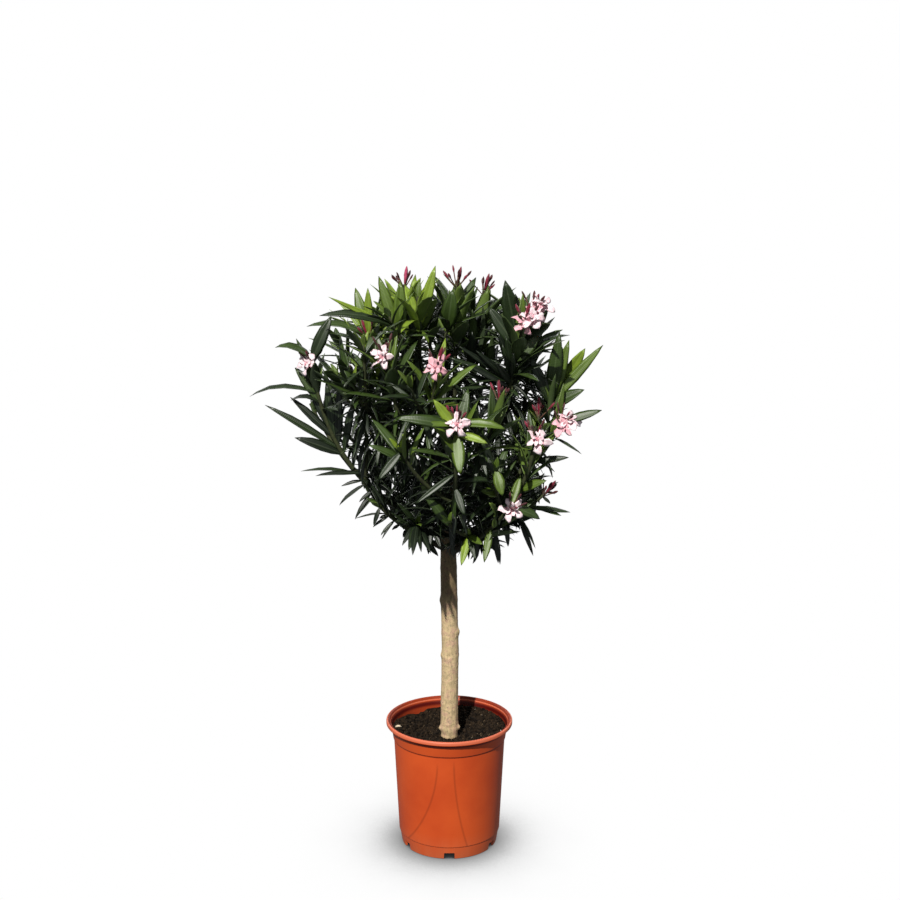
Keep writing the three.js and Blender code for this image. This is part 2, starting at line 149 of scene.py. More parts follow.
sun = add_lamp("sun", "SUN", 5.2)
sun.data.angle = math.radians(1.2)
sun.data.color = (1.0, 0.97, 0.92)
sun.rotation_euler = SUN_FROM
add_lamp("soft_left", "AREA", 6, place=(-1.3, -2.7, 1.5), size=1.8, aim=(0, 0, 0.6))
add_lamp("soft_right", "AREA", 3, place=(2.2, -0.6, 1.0), size=1.2, aim=(0, 0, 0.4))
for name, energy, place in BACK_LAMPS:
    behind = add_lamp(name, "AREA", energy, place=place, size=1.8, aim=(0, 0, 0.7))
    behind.data.specular_factor = BACK_SHINE

# %% [markdown]
# The world is plain white where the camera sees it, but as a light it is low and a little blue, so
# that the inside of the head stays dark. A Light Path node tells the two apart.

# %% World
SEEN_WHITE = (1, 1, 1, 1)
SKY_BLUE = (0.86, 0.93, 1.0, 1)
SKY_STRENGTH = 0.2

world = bpy.data.worlds.new("studio")
bpy.context.scene.world = world
world.use_nodes = True
wires = world.node_tree
seen = wires.nodes["Background"]
seen.inputs["Color"].default_value = SEEN_WHITE
seen.inputs["Strength"].default_value = 1.0
low = wires.nodes.new("ShaderNodeBackground")
low.inputs["Color"].default_value = SKY_BLUE
low.inputs["Strength"].default_value = SKY_STRENGTH
path = wires.nodes.new("ShaderNodeLightPath")
either = wires.nodes.new("ShaderNodeMixShader")
wires.links.new(path.outputs["Is Camera Ray"], either.inputs["Fac"])
wires.links.new(low.outputs["Background"], either.inputs[1])
wires.links.new(seen.outputs["Background"], either.inputs[2])
wires.links.new(either.outputs["Shader"], wires.nodes["World Output"].inputs["Surface"])
bpy.context.scene.view_settings.view_transform = "Standard"
print("sky strength", SKY_STRENGTH)

# %% [markdown]
# Every finish below is a few nodes before a Principled shader. Two helpers keep that short: one
# makes the material and adds nodes to it, the other lays a colour ramp over a value.

# %% Helpers for materials
def new_material(name):
    """A material with its shader, and a helper that adds nodes to it."""
    material = bpy.data.materials.new(name)
    material.use_nodes = True
    tree = material.node_tree

    def add(kind, links=(), **settings):
        node = tree.nodes.new("ShaderNode" + kind)
        for key, value in settings.items():
            if key in node.inputs:
                node.inputs[key].default_value = value
            else:
                setattr(node, key, value)
        for socket, source in links:
            tree.links.new(source, node.inputs[socket])
        return node

    return material, tree.nodes["Principled BSDF"], add, tree.links.new


def ramp(add, source, *stops):
    """A colour ramp over a source, from (place, colour) stops."""
    node = add("ValToRGB", [("Fac", source)])
    elements = node.color_ramp.elements
    while len(elements) < len(stops):
        elements.new(0.5)
    for element, (place, colour) in zip(elements, stops):
        element.position = place
        element.color = (*colour, 1)
    return node.outputs["Color"]


# %% [markdown]
# The floor is a plain pale disc. It glows softly and is darkened where the pot hides the sky from
# it, which an Ambient Occlusion node measures, so a soft contact shadow lies round the pot.

# %% Floor
FLOOR_RADIUS = 6.0
SHADOW_REACH = 0.30
# How open the sky is over the floor, and how bright the floor is there.
SHADE = [
    (0.0, 0.01), (0.2, 0.05), (0.35, 0.2), (0.61, 0.42),
    (0.7, 0.62), (0.765, 0.86), (0.86, 0.98), (0.93, 1.0),
]

bm = bmesh.new()
bmesh.ops.create_circle(bm, cap_ends=True, segments=96, radius=FLOOR_RADIUS)
mesh = bpy.data.meshes.new("floor")
bm.to_mesh(mesh)
bm.free()
floor = bpy.data.objects.new("floor", mesh)
bpy.context.scene.collection.objects.link(floor)
material, shader, add, link = new_material("pale_floor")
hidden_sky = add("AmbientOcclusion", samples=16, Distance=SHADOW_REACH)
grey = ramp(add, hidden_sky.outputs["AO"], *[(openness, (bright,) * 3) for openness, bright in SHADE])
shader.inputs["Base Color"].default_value = (0, 0, 0, 1)
shader.inputs["Specular IOR Level"].default_value = 0
shader.inputs["Emission Strength"].default_value = 1.0
link(grey, shader.inputs["Emission Color"])
floor.data.materials.append(material)
floor.visible_diffuse = False
floor.visible_glossy = False
floor.visible_shadow = False
print("floor", FLOOR_RADIUS)

# %% [markdown]
# ## The pot
# A nursery pot is moulded in one piece: a rolled lip, a short collar under it, a tapering body and
# a base ring that stands on the ground, cut by drain notches. It is a turned shape, so its profile
# is drawn once as a bent line, its corners are rounded by a vertex bevel, and one spin closes it.

# %% Pot sizes
POT = {
    "height": 244,
    "rim": 120,
    "lip_inside": 114.5,
    "lip_height": 8,
    "collar_top": 111.5,
    "collar_foot": 107,
    "collar_level": 209,
    "body_top": 105.4,
    "body_foot": 96.4,
    "foot_height": 25,
    "foot_top": 95,
    "foot": 91,
    "foot_inside": 87,
    "wall": 2.2,
    "channel_top": 15,
    "pad": 62,
    "channel_slope": 3,
}
NOTCH = {"count": 6, "width": 20, "height": 13, "depth": 20, "rounding": 2}
POT_STEPS = 168  # round the pot


def inside_body(level):
    share = (level - POT["foot_height"]) / (POT["collar_level"] - POT["foot_height"])
    return mix(POT["body_foot"], POT["body_top"], share) - POT["wall"]


def inside_collar(level):
    foot = POT["collar_level"] - 1
    share = (level - foot) / (POT["height"] - POT["lip_height"] - foot)
    return mix(inside_body(POT["collar_level"]), POT["collar_top"] - POT["wall"], share)


# %% [markdown]
# Each corner of the profile has its own rounding. The lip is the fullest, as a hand picks the pot
# up by it, and the steps of collar and base are as crisp as the mould. The lip is hollow below, so
# a dark line shows under it.

# %% Pot profile
def pot_profile():
    """Corners of the wall's section: radius, level and rounding."""
    p = POT
    under_lip = p["height"] - p["lip_height"]
    floor_level = p["channel_top"] + p["wall"]
    return [
        (0, 0, 0),
        (p["pad"], 0, 1),
        (p["pad"] + p["channel_slope"], p["channel_top"], 1),
        (p["foot_inside"] - 1, p["channel_top"], 1),
        (p["foot_inside"], 0, 1),
        (p["foot"], 0, 1.2),
        (p["foot_top"], p["foot_height"] - 1.2, 0.5),
        (p["foot_top"] + 0.5, p["foot_height"], 0.3),
        (p["body_foot"], p["foot_height"] + 0.6, 0.5),
        (p["body_top"], p["collar_level"] - 1.2, 0.3),
        (p["body_top"] + 0.2, p["collar_level"] - 0.4, 0.2),
        (p["collar_foot"], p["collar_level"], 0.8),
        (p["collar_top"], under_lip + 4, 0.4),
        (p["rim"] - 2.6, under_lip + 4.5, 0.2),
        (p["rim"] - 2.4, under_lip, 0.7),
        (p["rim"], under_lip + 0.6, 0.8),
        (p["rim"], p["height"], 2.8),
        (p["lip_inside"], p["height"], 2.2),
        (p["collar_top"] - p["wall"], under_lip - 2, 1.5),
        (inside_body(p["collar_level"]), p["collar_level"] - 1, 1),
        (inside_body(floor_level), floor_level, 1.5),
        (p["pad"] + p["channel_slope"] - p["wall"], floor_level, 1),
        (p["pad"] - p["wall"], p["wall"], 1),
        (0, p["wall"], 0),
    ]


print("corners of the profile", len(pot_profile()))

# %% [markdown]
# The profile is drawn as a wire of vertices and edges, rounded and spun. The same two helpers make
# every turned piece that follows, so the profile is passed in as corners with their roundings.

# %% Turn the pot
def new_piece(name, bm=None, mesh=None):
    """An object at the origin, smooth, from a bmesh in millimetres."""
    if mesh is None:
        mesh = bpy.data.meshes.new(name)
        bmesh.ops.scale(bm, vec=(MM,) * 3, verts=bm.verts)
        bm.to_mesh(mesh)
        bm.free()
        mesh.shade_smooth()
    piece = bpy.data.objects.new(name, mesh)
    bpy.context.scene.collection.objects.link(piece)
    return piece


def turn_profile(corners, steps, segments=4):
    """A closed turned solid from corners of radius, level and rounding, listed from axis to axis."""
    bm = bmesh.new()
    points = [bm.verts.new((radius, 0, level)) for radius, level, _ in corners]
    for pair in zip(points, points[1:]):
        bm.edges.new(pair)
    for point, (_, _, rounding) in zip(points, corners):
        if rounding:
            bmesh.ops.bevel(
                bm, geom=[point], offset=rounding, offset_type="OFFSET", affect="VERTICES",
                segments=segments, profile=0.5, material=-1,
            )
    line = bm.verts[:] + bm.edges[:]
    bmesh.ops.spin(
        bm, geom=line, cent=(0, 0, 0), axis=(0, 0, 1), angle=2 * math.pi, steps=steps, use_merge=True,
    )
    bmesh.ops.remove_doubles(bm, verts=bm.verts, dist=0.001)
    bmesh.ops.recalc_face_normals(bm, faces=bm.faces)
    return bm


pot = new_piece("pot_shell", turn_profile(pot_profile(), POT_STEPS))
print("pot faces", len(pot.data.polygons))

# %% [markdown]
# The drain notches are cut from the base ring with a Boolean modifier, which is then applied. The
# cutter is six small boxes with rounded upper corners. An Edge Split keeps the steps of the collar
# and the base crisp under smooth shading.

# %% Cut the notches
SHARP_FROM = 38  # degrees between two faces


def applied(piece):
    """The piece's mesh with its modifiers baked in."""
    graph = bpy.context.evaluated_depsgraph_get()
    mesh = bpy.data.meshes.new_from_object(piece.evaluated_get(graph))
    piece.modifiers.clear()
    piece.data = mesh
    return mesh


def is_upper_radial(edge):
    """Whether an edge of the cutter lies along the top of a notch and points at the pot's middle."""
    first, second = (vert.co for vert in edge.verts)
    is_upper = first.z + second.z > NOTCH["height"]
    return is_upper and abs(first.xy.length - second.xy.length) > NOTCH["depth"] / 2


cutter_bm = bmesh.new()
for index in range(NOTCH["count"]):
    made = bmesh.ops.create_cube(cutter_bm, size=1)["verts"]
    bmesh.ops.scale(cutter_bm, vec=(NOTCH["width"], NOTCH["depth"], 2 * NOTCH["height"]), verts=made)
    bmesh.ops.translate(cutter_bm, vec=(0, -POT["foot"], 0), verts=made)
    turn = Matrix.Rotation(math.tau * index / NOTCH["count"], 3, "Z")
    bmesh.ops.rotate(cutter_bm, cent=(0, 0, 0), matrix=turn, verts=made)
bmesh.ops.bevel(
    cutter_bm, geom=[edge for edge in cutter_bm.edges if is_upper_radial(edge)], offset=NOTCH["rounding"],
    affect="EDGES", segments=4, profile=0.5, material=-1,
)
cutter = new_piece("notch_cutter", cutter_bm)
cut = pot.modifiers.new("notches", "BOOLEAN")
cut.operation = "DIFFERENCE"
cut.solver = "EXACT"
cut.object = cutter
applied(pot)
bpy.data.objects.remove(cutter)
pot.data.shade_smooth()
sharp = pot.modifiers.new("crisp_steps", "EDGE_SPLIT")
sharp.split_angle = math.radians(SHARP_FROM)
applied(pot)
print("pot faces with notches", len(pot.data.polygons))

# %% [markdown]
# Terracotta-coloured plastic has a low sheen. Its colour is even, with faint cloudy patches, and a used pot
# has a film of dust near the foot. Painted shade makes dark bands under the lip, in the step of the collar
# and above the base ring, and a painted highlight makes the lip paler.

# %% Colours of the pot
PLASTIC = (0.53, 0.071, 0.011)
PLASTIC_DEEP = (0.46, 0.054, 0.008)
PLASTIC_DUST = (0.50, 0.12, 0.045)
INSIDE_SHADE = (0.24, 0.028, 0.006)  # the same plastic inside, painted darker as the shade within the pot
INSIDE_SHADE_DEEP = (0.14, 0.015, 0.004)
# Bands of painted shade: height where each starts, where it is full, where it ends, and what it multiplies
# by.
SHADE_BANDS = [
    (24.0, 25.0, 26.4, (0.55, 0.4, 0.35)),
    (206.0, 207.8, 210.4, (0.34, 0.22, 0.2)),
    (226.5, 230.5, 236.8, (0.3, 0.06, 0.05)),
]
LIP_HIGHLIGHT_COLOUR = (0.56, 0.17, 0.10)  # painted highlight of the lip
LIP_HIGHLIGHT_FROM = 238
RAMP_TOP = 0.25  # m, the height at the end of the painted shade's colour ramp
print("bands of dirt", len(SHADE_BANDS))

# %% [markdown]
# Two more helpers: one turns a pattern into a bump, and one is a Math node, so that a formula on
# the height above the ground reads as a formula.

# %% Bump and arithmetic
def bump(add, height, strength, distance, normal=None):
    node = add("Bump", [("Height", height)], Strength=strength, Distance=distance)
    if normal is not None:
        node.id_data.links.new(normal, node.inputs["Normal"])
    return node.outputs["Normal"]


def calc(add, operation, first, second=0.0):
    """A Math node: each input is a number or another node's output."""
    node = add("Math", operation=operation)
    for socket, value in zip(node.inputs, (first, second)):
        if isinstance(value, (int, float)):
            socket.default_value = value
        else:
            node.id_data.links.new(value, socket)
    return node.outputs["Value"]


# %% [markdown]
# Two thin darker lines curl down the front of the wall. Each is a parabola: the further below its top, the
# further it lies aside.

# %% Curled lines
CURLED_LINES = [(-22, 197, 1.9, -1), (8.5, 203, 0.8, 1)]  # each top's place and height; curl and side
CURLED_LINE = {"sharpness": 360.0, "fade_in": 60.0, "front": -0.05, "strength": 0.3}


def curled_line(add, axes, across, height, curl, side):
    """1 on a thin curled line down the front of the wall, 0 beside it."""
    fall = calc(add, "MAXIMUM", calc(add, "SUBTRACT", height * MM, axes["Z"]), 0.0)
    bow = calc(add, "MULTIPLY", calc(add, "MULTIPLY", fall, fall), curl * side)
    off = calc(add, "SUBTRACT", calc(add, "SUBTRACT", axes["X"], across * MM), bow)
    thin = calc(add, "SUBTRACT", 1.0, calc(add, "MULTIPLY", calc(add, "ABSOLUTE", off), CURLED_LINE["sharpness"]))
    front = calc(add, "LESS_THAN", axes["Y"], CURLED_LINE["front"])
    low = calc(add, "MINIMUM", calc(add, "MULTIPLY", fall, CURLED_LINE["fade_in"]), 1.0)
    body = calc(add, "GREATER_THAN", axes["Z"], POT["foot_height"] * MM)
    where = calc(add, "MULTIPLY", front, calc(add, "MULTIPLY", low, body))
    return calc(add, "MULTIPLY", calc(add, "MAXIMUM", thin, 0.0), where)


print("flow marks", len(CURLED_LINES))

# %% [markdown]
# The plastic's colour is built up in layers: the cloudy melt, dust low down, the painted highlight on the
# lip, then the bands of painted shade and the curled lines, which multiply what lies under them. Streaks
# drawn out along the wall vary the gloss.

# %% Pot plastic
def pot_plastic(name, deep, colour, highlight_share, gloss):
    """The plastic, with its bands of painted shade and curled lines; its lip gets a painted highlight by a
    share, 0 for the inside.
    """
    material, shader, add, link = new_material(name)
    place = add("TexCoord").outputs["Object"]
    cloud = add("TexNoise", [("Vector", place)], Scale=9.0, Detail=4.0, Roughness=0.5)
    drawn = add("Mapping", [("Vector", place)], Scale=(60, 60, 2.2))
    flow = add("TexNoise", [("Vector", drawn.outputs["Vector"])], Scale=1.0, Detail=2.0)
    grain = add("TexNoise", [("Vector", place)], Scale=900.0, Detail=2.0)
    tone = ramp(add, cloud.outputs["Fac"], (0.36, deep), (0.56, colour))
    axes = add("SeparateXYZ", [("Vector", place)]).outputs
    height = axes["Z"]
    low_down = add("MapRange", [("Value", height)])
    low_down.inputs["From Min"].default_value = 0.05
    low_down.inputs["From Max"].default_value = 0.0
    patch = calc(add, "MULTIPLY", low_down.outputs["Result"], flow.outputs["Fac"])
    dusty = add("Mix", data_type="RGBA")
    link(patch, dusty.inputs["Factor"])
    link(tone, dusty.inputs[6])
    dusty.inputs[7].default_value = (*PLASTIC_DUST, 1)
    # The bands paint shade under the lip, in the step of the collar and above the base ring.
    stops = []
    for start, full, end, shade in SHADE_BANDS:
        stops += [(start, (1, 1, 1)), (full, shade), (mix(full, end, 0.7), shade), (end, (1, 1, 1))]
    share = calc(add, "DIVIDE", height, RAMP_TOP)
    painted_bands = ramp(add, share, *[(level * MM / RAMP_TOP, shade) for level, shade in stops])
    # The lip is mixed towards a paler colour, a painted highlight.
    highlighted = add("Mix", data_type="RGBA")
    on_lip = calc(add, "GREATER_THAN", height, LIP_HIGHLIGHT_FROM * MM)
    link(calc(add, "MULTIPLY", on_lip, highlight_share), highlighted.inputs["Factor"])
    link(dusty.outputs[2], highlighted.inputs[6])
    highlighted.inputs[7].default_value = (*LIP_HIGHLIGHT_COLOUR, 1)
    marks = [curled_line(add, axes, *line) for line in CURLED_LINES]
    marked = calc(add, "SUBTRACT", 1.0, calc(add, "MULTIPLY", calc(add, "ADD", *marks), CURLED_LINE["strength"]))
    tinted = highlighted.outputs[2]
    for shade in (painted_bands, marked):
        over = add("Mix", data_type="RGBA", blend_type="MULTIPLY", Factor=1.0)
        link(tinted, over.inputs[6])
        link(shade, over.inputs[7])
        tinted = over.outputs[2]
    link(tinted, shader.inputs["Base Color"])
    shader.inputs["Specular IOR Level"].default_value = gloss
    rough = add("MapRange", [("Value", flow.outputs["Fac"])])
    rough.inputs["To Min"].default_value = 0.40
    rough.inputs["To Max"].default_value = 0.54
    link(rough.outputs["Result"], shader.inputs["Roughness"])
    fine = bump(add, grain.outputs["Fac"], 0.12, 0.0002)
    link(bump(add, flow.outputs["Fac"], 0.25, 0.0004, fine), shader.inputs["Normal"])
    return material


# %% [markdown]
# The inner wall is painted darker, as the shade within the pot, so the inside is a second material, given
# face by face.
# A helper then dresses a piece: it hands over the materials, says which body the piece rides on, and which
# plain nodes of the part it stands for.

# %% Dress the pot
SHADED_INSIDE_SLOT = 1  # the material's place on the pot
INSIDE_SHADE_FROM = 0.03  # m above the ground
INSIDE_SHADE_REACH = 0.1170  # m from the pot's middle
INSIDE_SHADE_FACING = 0.3  # a face painted with the inside's shade looks outwards by less than this


def finish_piece(piece, materials, slot, *nodes):
    """Gives a piece its materials and its body, and hides the nodes of the part that it stands for; slot is
    not used.
    """
    for material in materials:
        piece.data.materials.append(material)
    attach(piece, "root")
    if nodes:
        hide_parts(*nodes)
    return piece


def is_shaded_inside(face):
    outwards = Vector((face.center.x, face.center.y, 0))
    looks_in = face.normal.dot(outwards) < INSIDE_SHADE_FACING * outwards.length
    return looks_in and face.center.z > INSIDE_SHADE_FROM and outwards.length < INSIDE_SHADE_REACH


# Faces of the inner wall take the second material, with its painted shade.
for face in pot.data.polygons:
    if is_shaded_inside(face):
        face.material_index = SHADED_INSIDE_SLOT
outside = pot_plastic("terracotta_plastic", PLASTIC_DEEP, PLASTIC, highlight_share=0.55, gloss=0.36)
inside = pot_plastic("shaded_inside_plastic", INSIDE_SHADE_DEEP, INSIDE_SHADE, highlight_share=0.0, gloss=0.2)
finish_piece(pot, [outside, inside], "pot_plastic", "pot")
print("pot done, stained faces", sum(face.material_index == SHADED_INSIDE_SLOT for face in pot.data.polygons))

# %% [markdown]
# ## The peat
# Potting peat is dark and crumbly, heaped against the wall and low round the stem, and it has
# settled at the back left. Its bed is a turned solid whose top is roughened with three layers of
# noise: broad swells, lumps and fine crumbs.

# %% Peat bed
PEAT = {"level": 207, "flat": 34, "slope": 66, "slope_level": 217, "wall_level": 228, "brow": 6}
SETTLED = {"azimuth": 127, "half_width": 38, "depth": 15, "radius": 100}
CRUMBLE = [(0.045, 3.4, 0), (0.16, 3.0, 5), (0.5, 1.3, 9)]  # fineness, height and layer of each noise
CLEAR = 0.35  # mm between neighbours
PEAT_STEPS = 150  # round the bed
PEAT_RINGS = 46


def peat_level(radius):
    """Height of the bed's top at a distance from the stem, before it settles."""
    wall = inside_collar(PEAT["wall_level"]) - PEAT["brow"]
    stops = [0, PEAT["flat"], PEAT["slope"], wall, wall + PEAT["brow"]]
    levels = [PEAT["level"], PEAT["level"], PEAT["slope_level"], PEAT["wall_level"] + 1, PEAT["wall_level"]]
    return float(np.interp(radius, stops, levels))


def peat_profile():
    p = POT
    floor_level = p["channel_top"] + p["wall"] + CLEAR
    pad = p["pad"] - p["wall"] - CLEAR
    wall = inside_collar(PEAT["wall_level"]) - CLEAR
    hidden = [
        (0, p["wall"] + CLEAR),
        (pad, p["wall"] + CLEAR),
        (pad + p["channel_slope"], floor_level),
        (inside_body(floor_level) - CLEAR, floor_level),
        (inside_body(p["collar_level"] - 1) - CLEAR, p["collar_level"] - 1),
    ]
    top = [(radius, peat_level(radius)) for radius in np.linspace(wall, 0, PEAT_RINGS)]
    return [(radius, level, 0) for radius, level in hidden + top]


def crumbly(x, y):
    """Small unevenness of the peat, and where it has settled at the back left, in millimetres."""
    rough = sum(noise.noise(Vector((x, y, layer)) * fineness) * height for fineness, height, layer in CRUMBLE)
    around = abs((math.degrees(math.atan2(y, x)) - SETTLED["azimuth"] + 180) % 360 - 180)
    beside = max(0, 1 - around / SETTLED["half_width"]) ** 0.7
    outer = min(1, math.hypot(x, y) / SETTLED["radius"]) ** 2
    return rough - beside * outer * SETTLED["depth"]


peat_bm = turn_profile(peat_profile(), PEAT_STEPS)
for vert in peat_bm.verts:
    x, y, z = vert.co
    radius = math.hypot(x, y)
    edge = inside_collar(PEAT["wall_level"]) - CLEAR - radius
    if z > PEAT["level"] - 1:
        vert.co.z += min(1, 0.4 + edge / 6) * crumbly(x, y) - 0.6 * (edge < 6)
peat_bed = new_piece("peat_bed", peat_bm)
print("peat faces", len(peat_bed.data.polygons))

# %% [markdown]
# Thousands of small things, such as grains or leaves, would be slow as objects. A small shape is
# modelled once and read out as arrays, and numpy writes all its copies into one mesh.

# %% Stamping small shapes
def template(bm):
    """A small shape's vertices and faces as arrays."""
    bm.verts.ensure_lookup_table()
    verts = np.array([v.co[:] for v in bm.verts])
    faces = [[v.index for v in f.verts] for f in bm.faces]
    slots = np.array([f.material_index for f in bm.faces])
    bm.free()
    return {"verts": verts, "faces": faces, "slots": slots}


def joined_mesh(name, verts, faces, slots, uvs=None):
    """One mesh from many copies: verts is (copies, points, 3), faces are one copy's, and slots are one
    copy's too or have a row for each copy."""
    copies, points, _ = verts.shape
    sizes = np.array([len(f) for f in faces])
    loops = np.concatenate([np.array(f) for f in faces])
    shift = (np.arange(copies) * points)[:, None]
    mesh = bpy.data.meshes.new(name)
    mesh.vertices.add(copies * points)
    mesh.vertices.foreach_set("co", (verts * MM).astype(np.float32).ravel())
    mesh.loops.add(copies * len(loops))
    mesh.loops.foreach_set("vertex_index", (loops[None] + shift).astype(np.int32).ravel())
    mesh.polygons.add(copies * len(faces))
    starts = np.concatenate([[0], np.cumsum(sizes)[:-1]])
    starts = starts[None] + np.arange(copies)[:, None] * len(loops)
    mesh.polygons.foreach_set("loop_start", starts.astype(np.int32).ravel())
    slots = np.broadcast_to(slots, (copies, len(faces)))
    mesh.polygons.foreach_set("material_index", slots.astype(np.int32).ravel())
    if uvs is not None:
        layer = mesh.uv_layers.new(name="along")
        layer.uv.foreach_set("vector", np.tile(uvs[loops], (copies, 1)).astype(np.float32).ravel())
    mesh.update(calc_edges=True)
    mesh.shade_smooth()
    return mesh


# %% [markdown]
# Crumbs of peat, splinters of bark and white specks of perlite lie on the bed. They are all one
# rough ball of twenty faces, each copy turned, stretched and sunk a little into the peat.

# %% Peat grains
# How many there are, least and greatest size, and how each is stretched along its three axes.
GRAINS = {
    "crumbs": (4200, (1.0, 5.6), (1, 0.8, 0.7)),
    "splinters": (460, (2.2, 5.5), (1, 0.25, 0.16)),
    "perlite": (90, (0.7, 1.7), (1, 0.9, 0.8)),
}
GRAIN_FIELD = 100  # grains lie no further out along x or y
GRAIN_SUNK = 0.15  # how far a grain's middle stands above the bed, of its size
GRAIN_CLEAR = 1.5  # between a grain and the wall
TRUNK_FOOT_RADIUS = 21


def turns(count, random):
    """Random rotations, one matrix for each copy."""
    spins = [Euler((random() * 6.28, random() * 6.28, random() * 6.28)).to_matrix() for _ in range(count)]
    return np.array([[list(row) for row in m] for m in spins])


def scatter(count, sizes, stretch, slot, random):
    """Places, sizes and slots of grains on the peat."""
    grains = []
    while len(grains) < count:
        x, y = (random() * 2 - 1) * GRAIN_FIELD, (random() * 2 - 1) * GRAIN_FIELD
        radius = math.hypot(x, y)
        size = mix(*sizes, random() ** 2)
        if TRUNK_FOOT_RADIUS < radius < inside_collar(PEAT["wall_level"]) - size - GRAIN_CLEAR:
            z = peat_level(radius) + crumbly(x, y) + size * GRAIN_SUNK
            grains.append((x, y, z, size, stretch, slot))
    return grains


random = seeded(7)
grains = []
for slot, (count, sizes, stretch) in enumerate(GRAINS.values()):
    grains += scatter(count, sizes, stretch, slot, random)
bm = bmesh.new()
bmesh.ops.create_icosphere(bm, subdivisions=1, radius=1)
for vert in bm.verts:
    vert.co *= 0.8 + 0.4 * random()
grain = template(bm)
rotations = turns(len(grains), random)
places = np.array([g[:3] for g in grains])
scales = np.array([[g[3] * s for s in g[4]] for g in grains])
shapes = np.einsum("nij,nvj->nvi", rotations, grain["verts"][None] * scales[:, None])
slots = np.repeat(np.array([g[5] for g in grains])[:, None], len(grain["faces"]), axis=1)
grain_mesh = joined_mesh("peat_grains", shapes + places[:, None], grain["faces"], slots)
peat_grains = new_piece("peat_grains", mesh=grain_mesh)
print("grains", len(grains), "triangles", len(peat_grains.data.polygons))

# %% [markdown]
# One pale pebble has come in with the peat. It is a finer ball, dented by noise and pressed flat.

# %% Pebble
PEBBLE = {"x": -97, "y": -8, "radius": 5.2, "proud": 1.5}

bm = bmesh.new()
bmesh.ops.create_icosphere(bm, subdivisions=3, radius=PEBBLE["radius"])
for vert in bm.verts:
    vert.co *= 1 + 0.22 * noise.noise(vert.co * 0.4)
pebble_top = peat_level(math.hypot(PEBBLE["x"], PEBBLE["y"])) + crumbly(PEBBLE["x"], PEBBLE["y"])
bmesh.ops.scale(bm, vec=(1.1, 0.9, 0.8), verts=bm.verts)
bmesh.ops.translate(bm, vec=(PEBBLE["x"], PEBBLE["y"], pebble_top + PEBBLE["proud"]), verts=bm.verts)
pebble = new_piece("pebble", bm)
print("pebble faces", len(pebble.data.polygons))

# %% [markdown]
# Peat is nearly black where damp and brown where it has dried. Its roughness is high everywhere.

# %% Peat materials
def earthy(name, dark, pale, scale):
    material, shader, add, link = new_material(name)
    place = add("TexCoord").outputs["Object"]
    mottle = add("TexNoise", [("Vector", place)], Scale=scale, Detail=5.0, Roughness=0.65)
    link(ramp(add, mottle.outputs["Fac"], (0.38, dark), (0.66, pale)), shader.inputs["Base Color"])
    shader.inputs["Roughness"].default_value = 0.95
    shader.inputs["Specular IOR Level"].default_value = 0.1
    link(bump(add, mottle.outputs["Fac"], 0.6, 0.0008), shader.inputs["Normal"])
    return material


damp = earthy("damp_peat", (0.002, 0.0013, 0.001), (0.028, 0.018, 0.010), 130)
splinter = earthy("bark_splinter", (0.03, 0.018, 0.01), (0.15, 0.11, 0.065), 260)
stone = earthy("pale_stone", (0.42, 0.34, 0.24), (0.66, 0.56, 0.42), 150)
perlite = earthy("perlite", (0.5, 0.47, 0.42), (0.75, 0.7, 0.62), 320)
finish_piece(peat_bed, [damp], "peat", "peat")
finish_piece(peat_grains, [damp, splinter, perlite], "peat")
finish_piece(pebble, [stone], "peat")
print("peat done")

# %% [markdown]
# ## The stem
# The stem of a standard oleander is as thick as a broom handle, with smooth pale grey-brown bark.
# Everything that grows follows a line, so a small class comes first: it gives the point at any
# share of a line's length, and the way the line goes there.

# %% Lines that things grow along
class Line:
    """A smooth line, asked by the share of its length."""

    def __init__(self, points):
        self.points = np.array(points, float)
        steps = np.linalg.norm(np.diff(self.points, axis=0), axis=1)
        self.along = np.concatenate([[0], np.cumsum(steps)])
        self.length = self.along[-1]

    def at(self, share):
        return np.array([np.interp(share * self.length, self.along, axis) for axis in self.points.T])

    def way(self, share):
        step = 0.02
        return unit(self.at(min(share + step, 1)) - self.at(max(share - step, 0)))


def bent(start, knee, tip, count=48):
    """A quadratic Bezier line through a knee."""
    t = np.linspace(0, 1, count)[:, None]
    return Line((1 - t) ** 2 * start + 2 * t * (1 - t) * knee + t**2 * tip)


print("a bent line's length", round(bent(np.zeros(3), UP, 2 * UP + 1).length, 2))

# %% [markdown]
# The stem tapers slowly up to its middle and faster above it, and bows by little more than a
# millimetre to either side. Its line and its thickness are two short functions of the height.

# %% Line of the stem
TRUNK = {"top": 705, "flare": 16.6, "foot": 17.0, "middle": 16, "tip": 12.5, "flare_height": 34, "bow": 1.6}
TRUNK_FOOT = PEAT["level"] + CLEAR


def trunk_axis(level):
    """Where the stem's middle lies at a height: it bows a little."""
    share = (level - TRUNK_FOOT) / (TRUNK["top"] - TRUNK_FOOT)
    rise = TRUNK["flare_height"] / (TRUNK["top"] - TRUNK_FOOT)
    stops = [0, rise, 0.35, 0.7, 1]
    x = np.interp(share, stops, [0, 0, TRUNK["bow"], -TRUNK["bow"], 0])
    y = np.interp(share, stops, [0, 0, -TRUNK["bow"], 0, 0])
    return x, y


def trunk_radius(level):
    height = level - TRUNK_FOOT
    share = height / (TRUNK["top"] - TRUNK_FOOT)
    flare = max(0, 1 - height / TRUNK["flare_height"]) ** 2
    if share < 0.5:
        body = mix(TRUNK["foot"], TRUNK["middle"], share * 2)
    else:
        body = mix(TRUNK["middle"], TRUNK["tip"], (share * 2 - 1) ** 2)
    return body + (TRUNK["flare"] - TRUNK["foot"]) * flare


print("stem from", TRUNK_FOOT, "to", TRUNK["top"], "thick", round(2 * trunk_radius(400), 1))

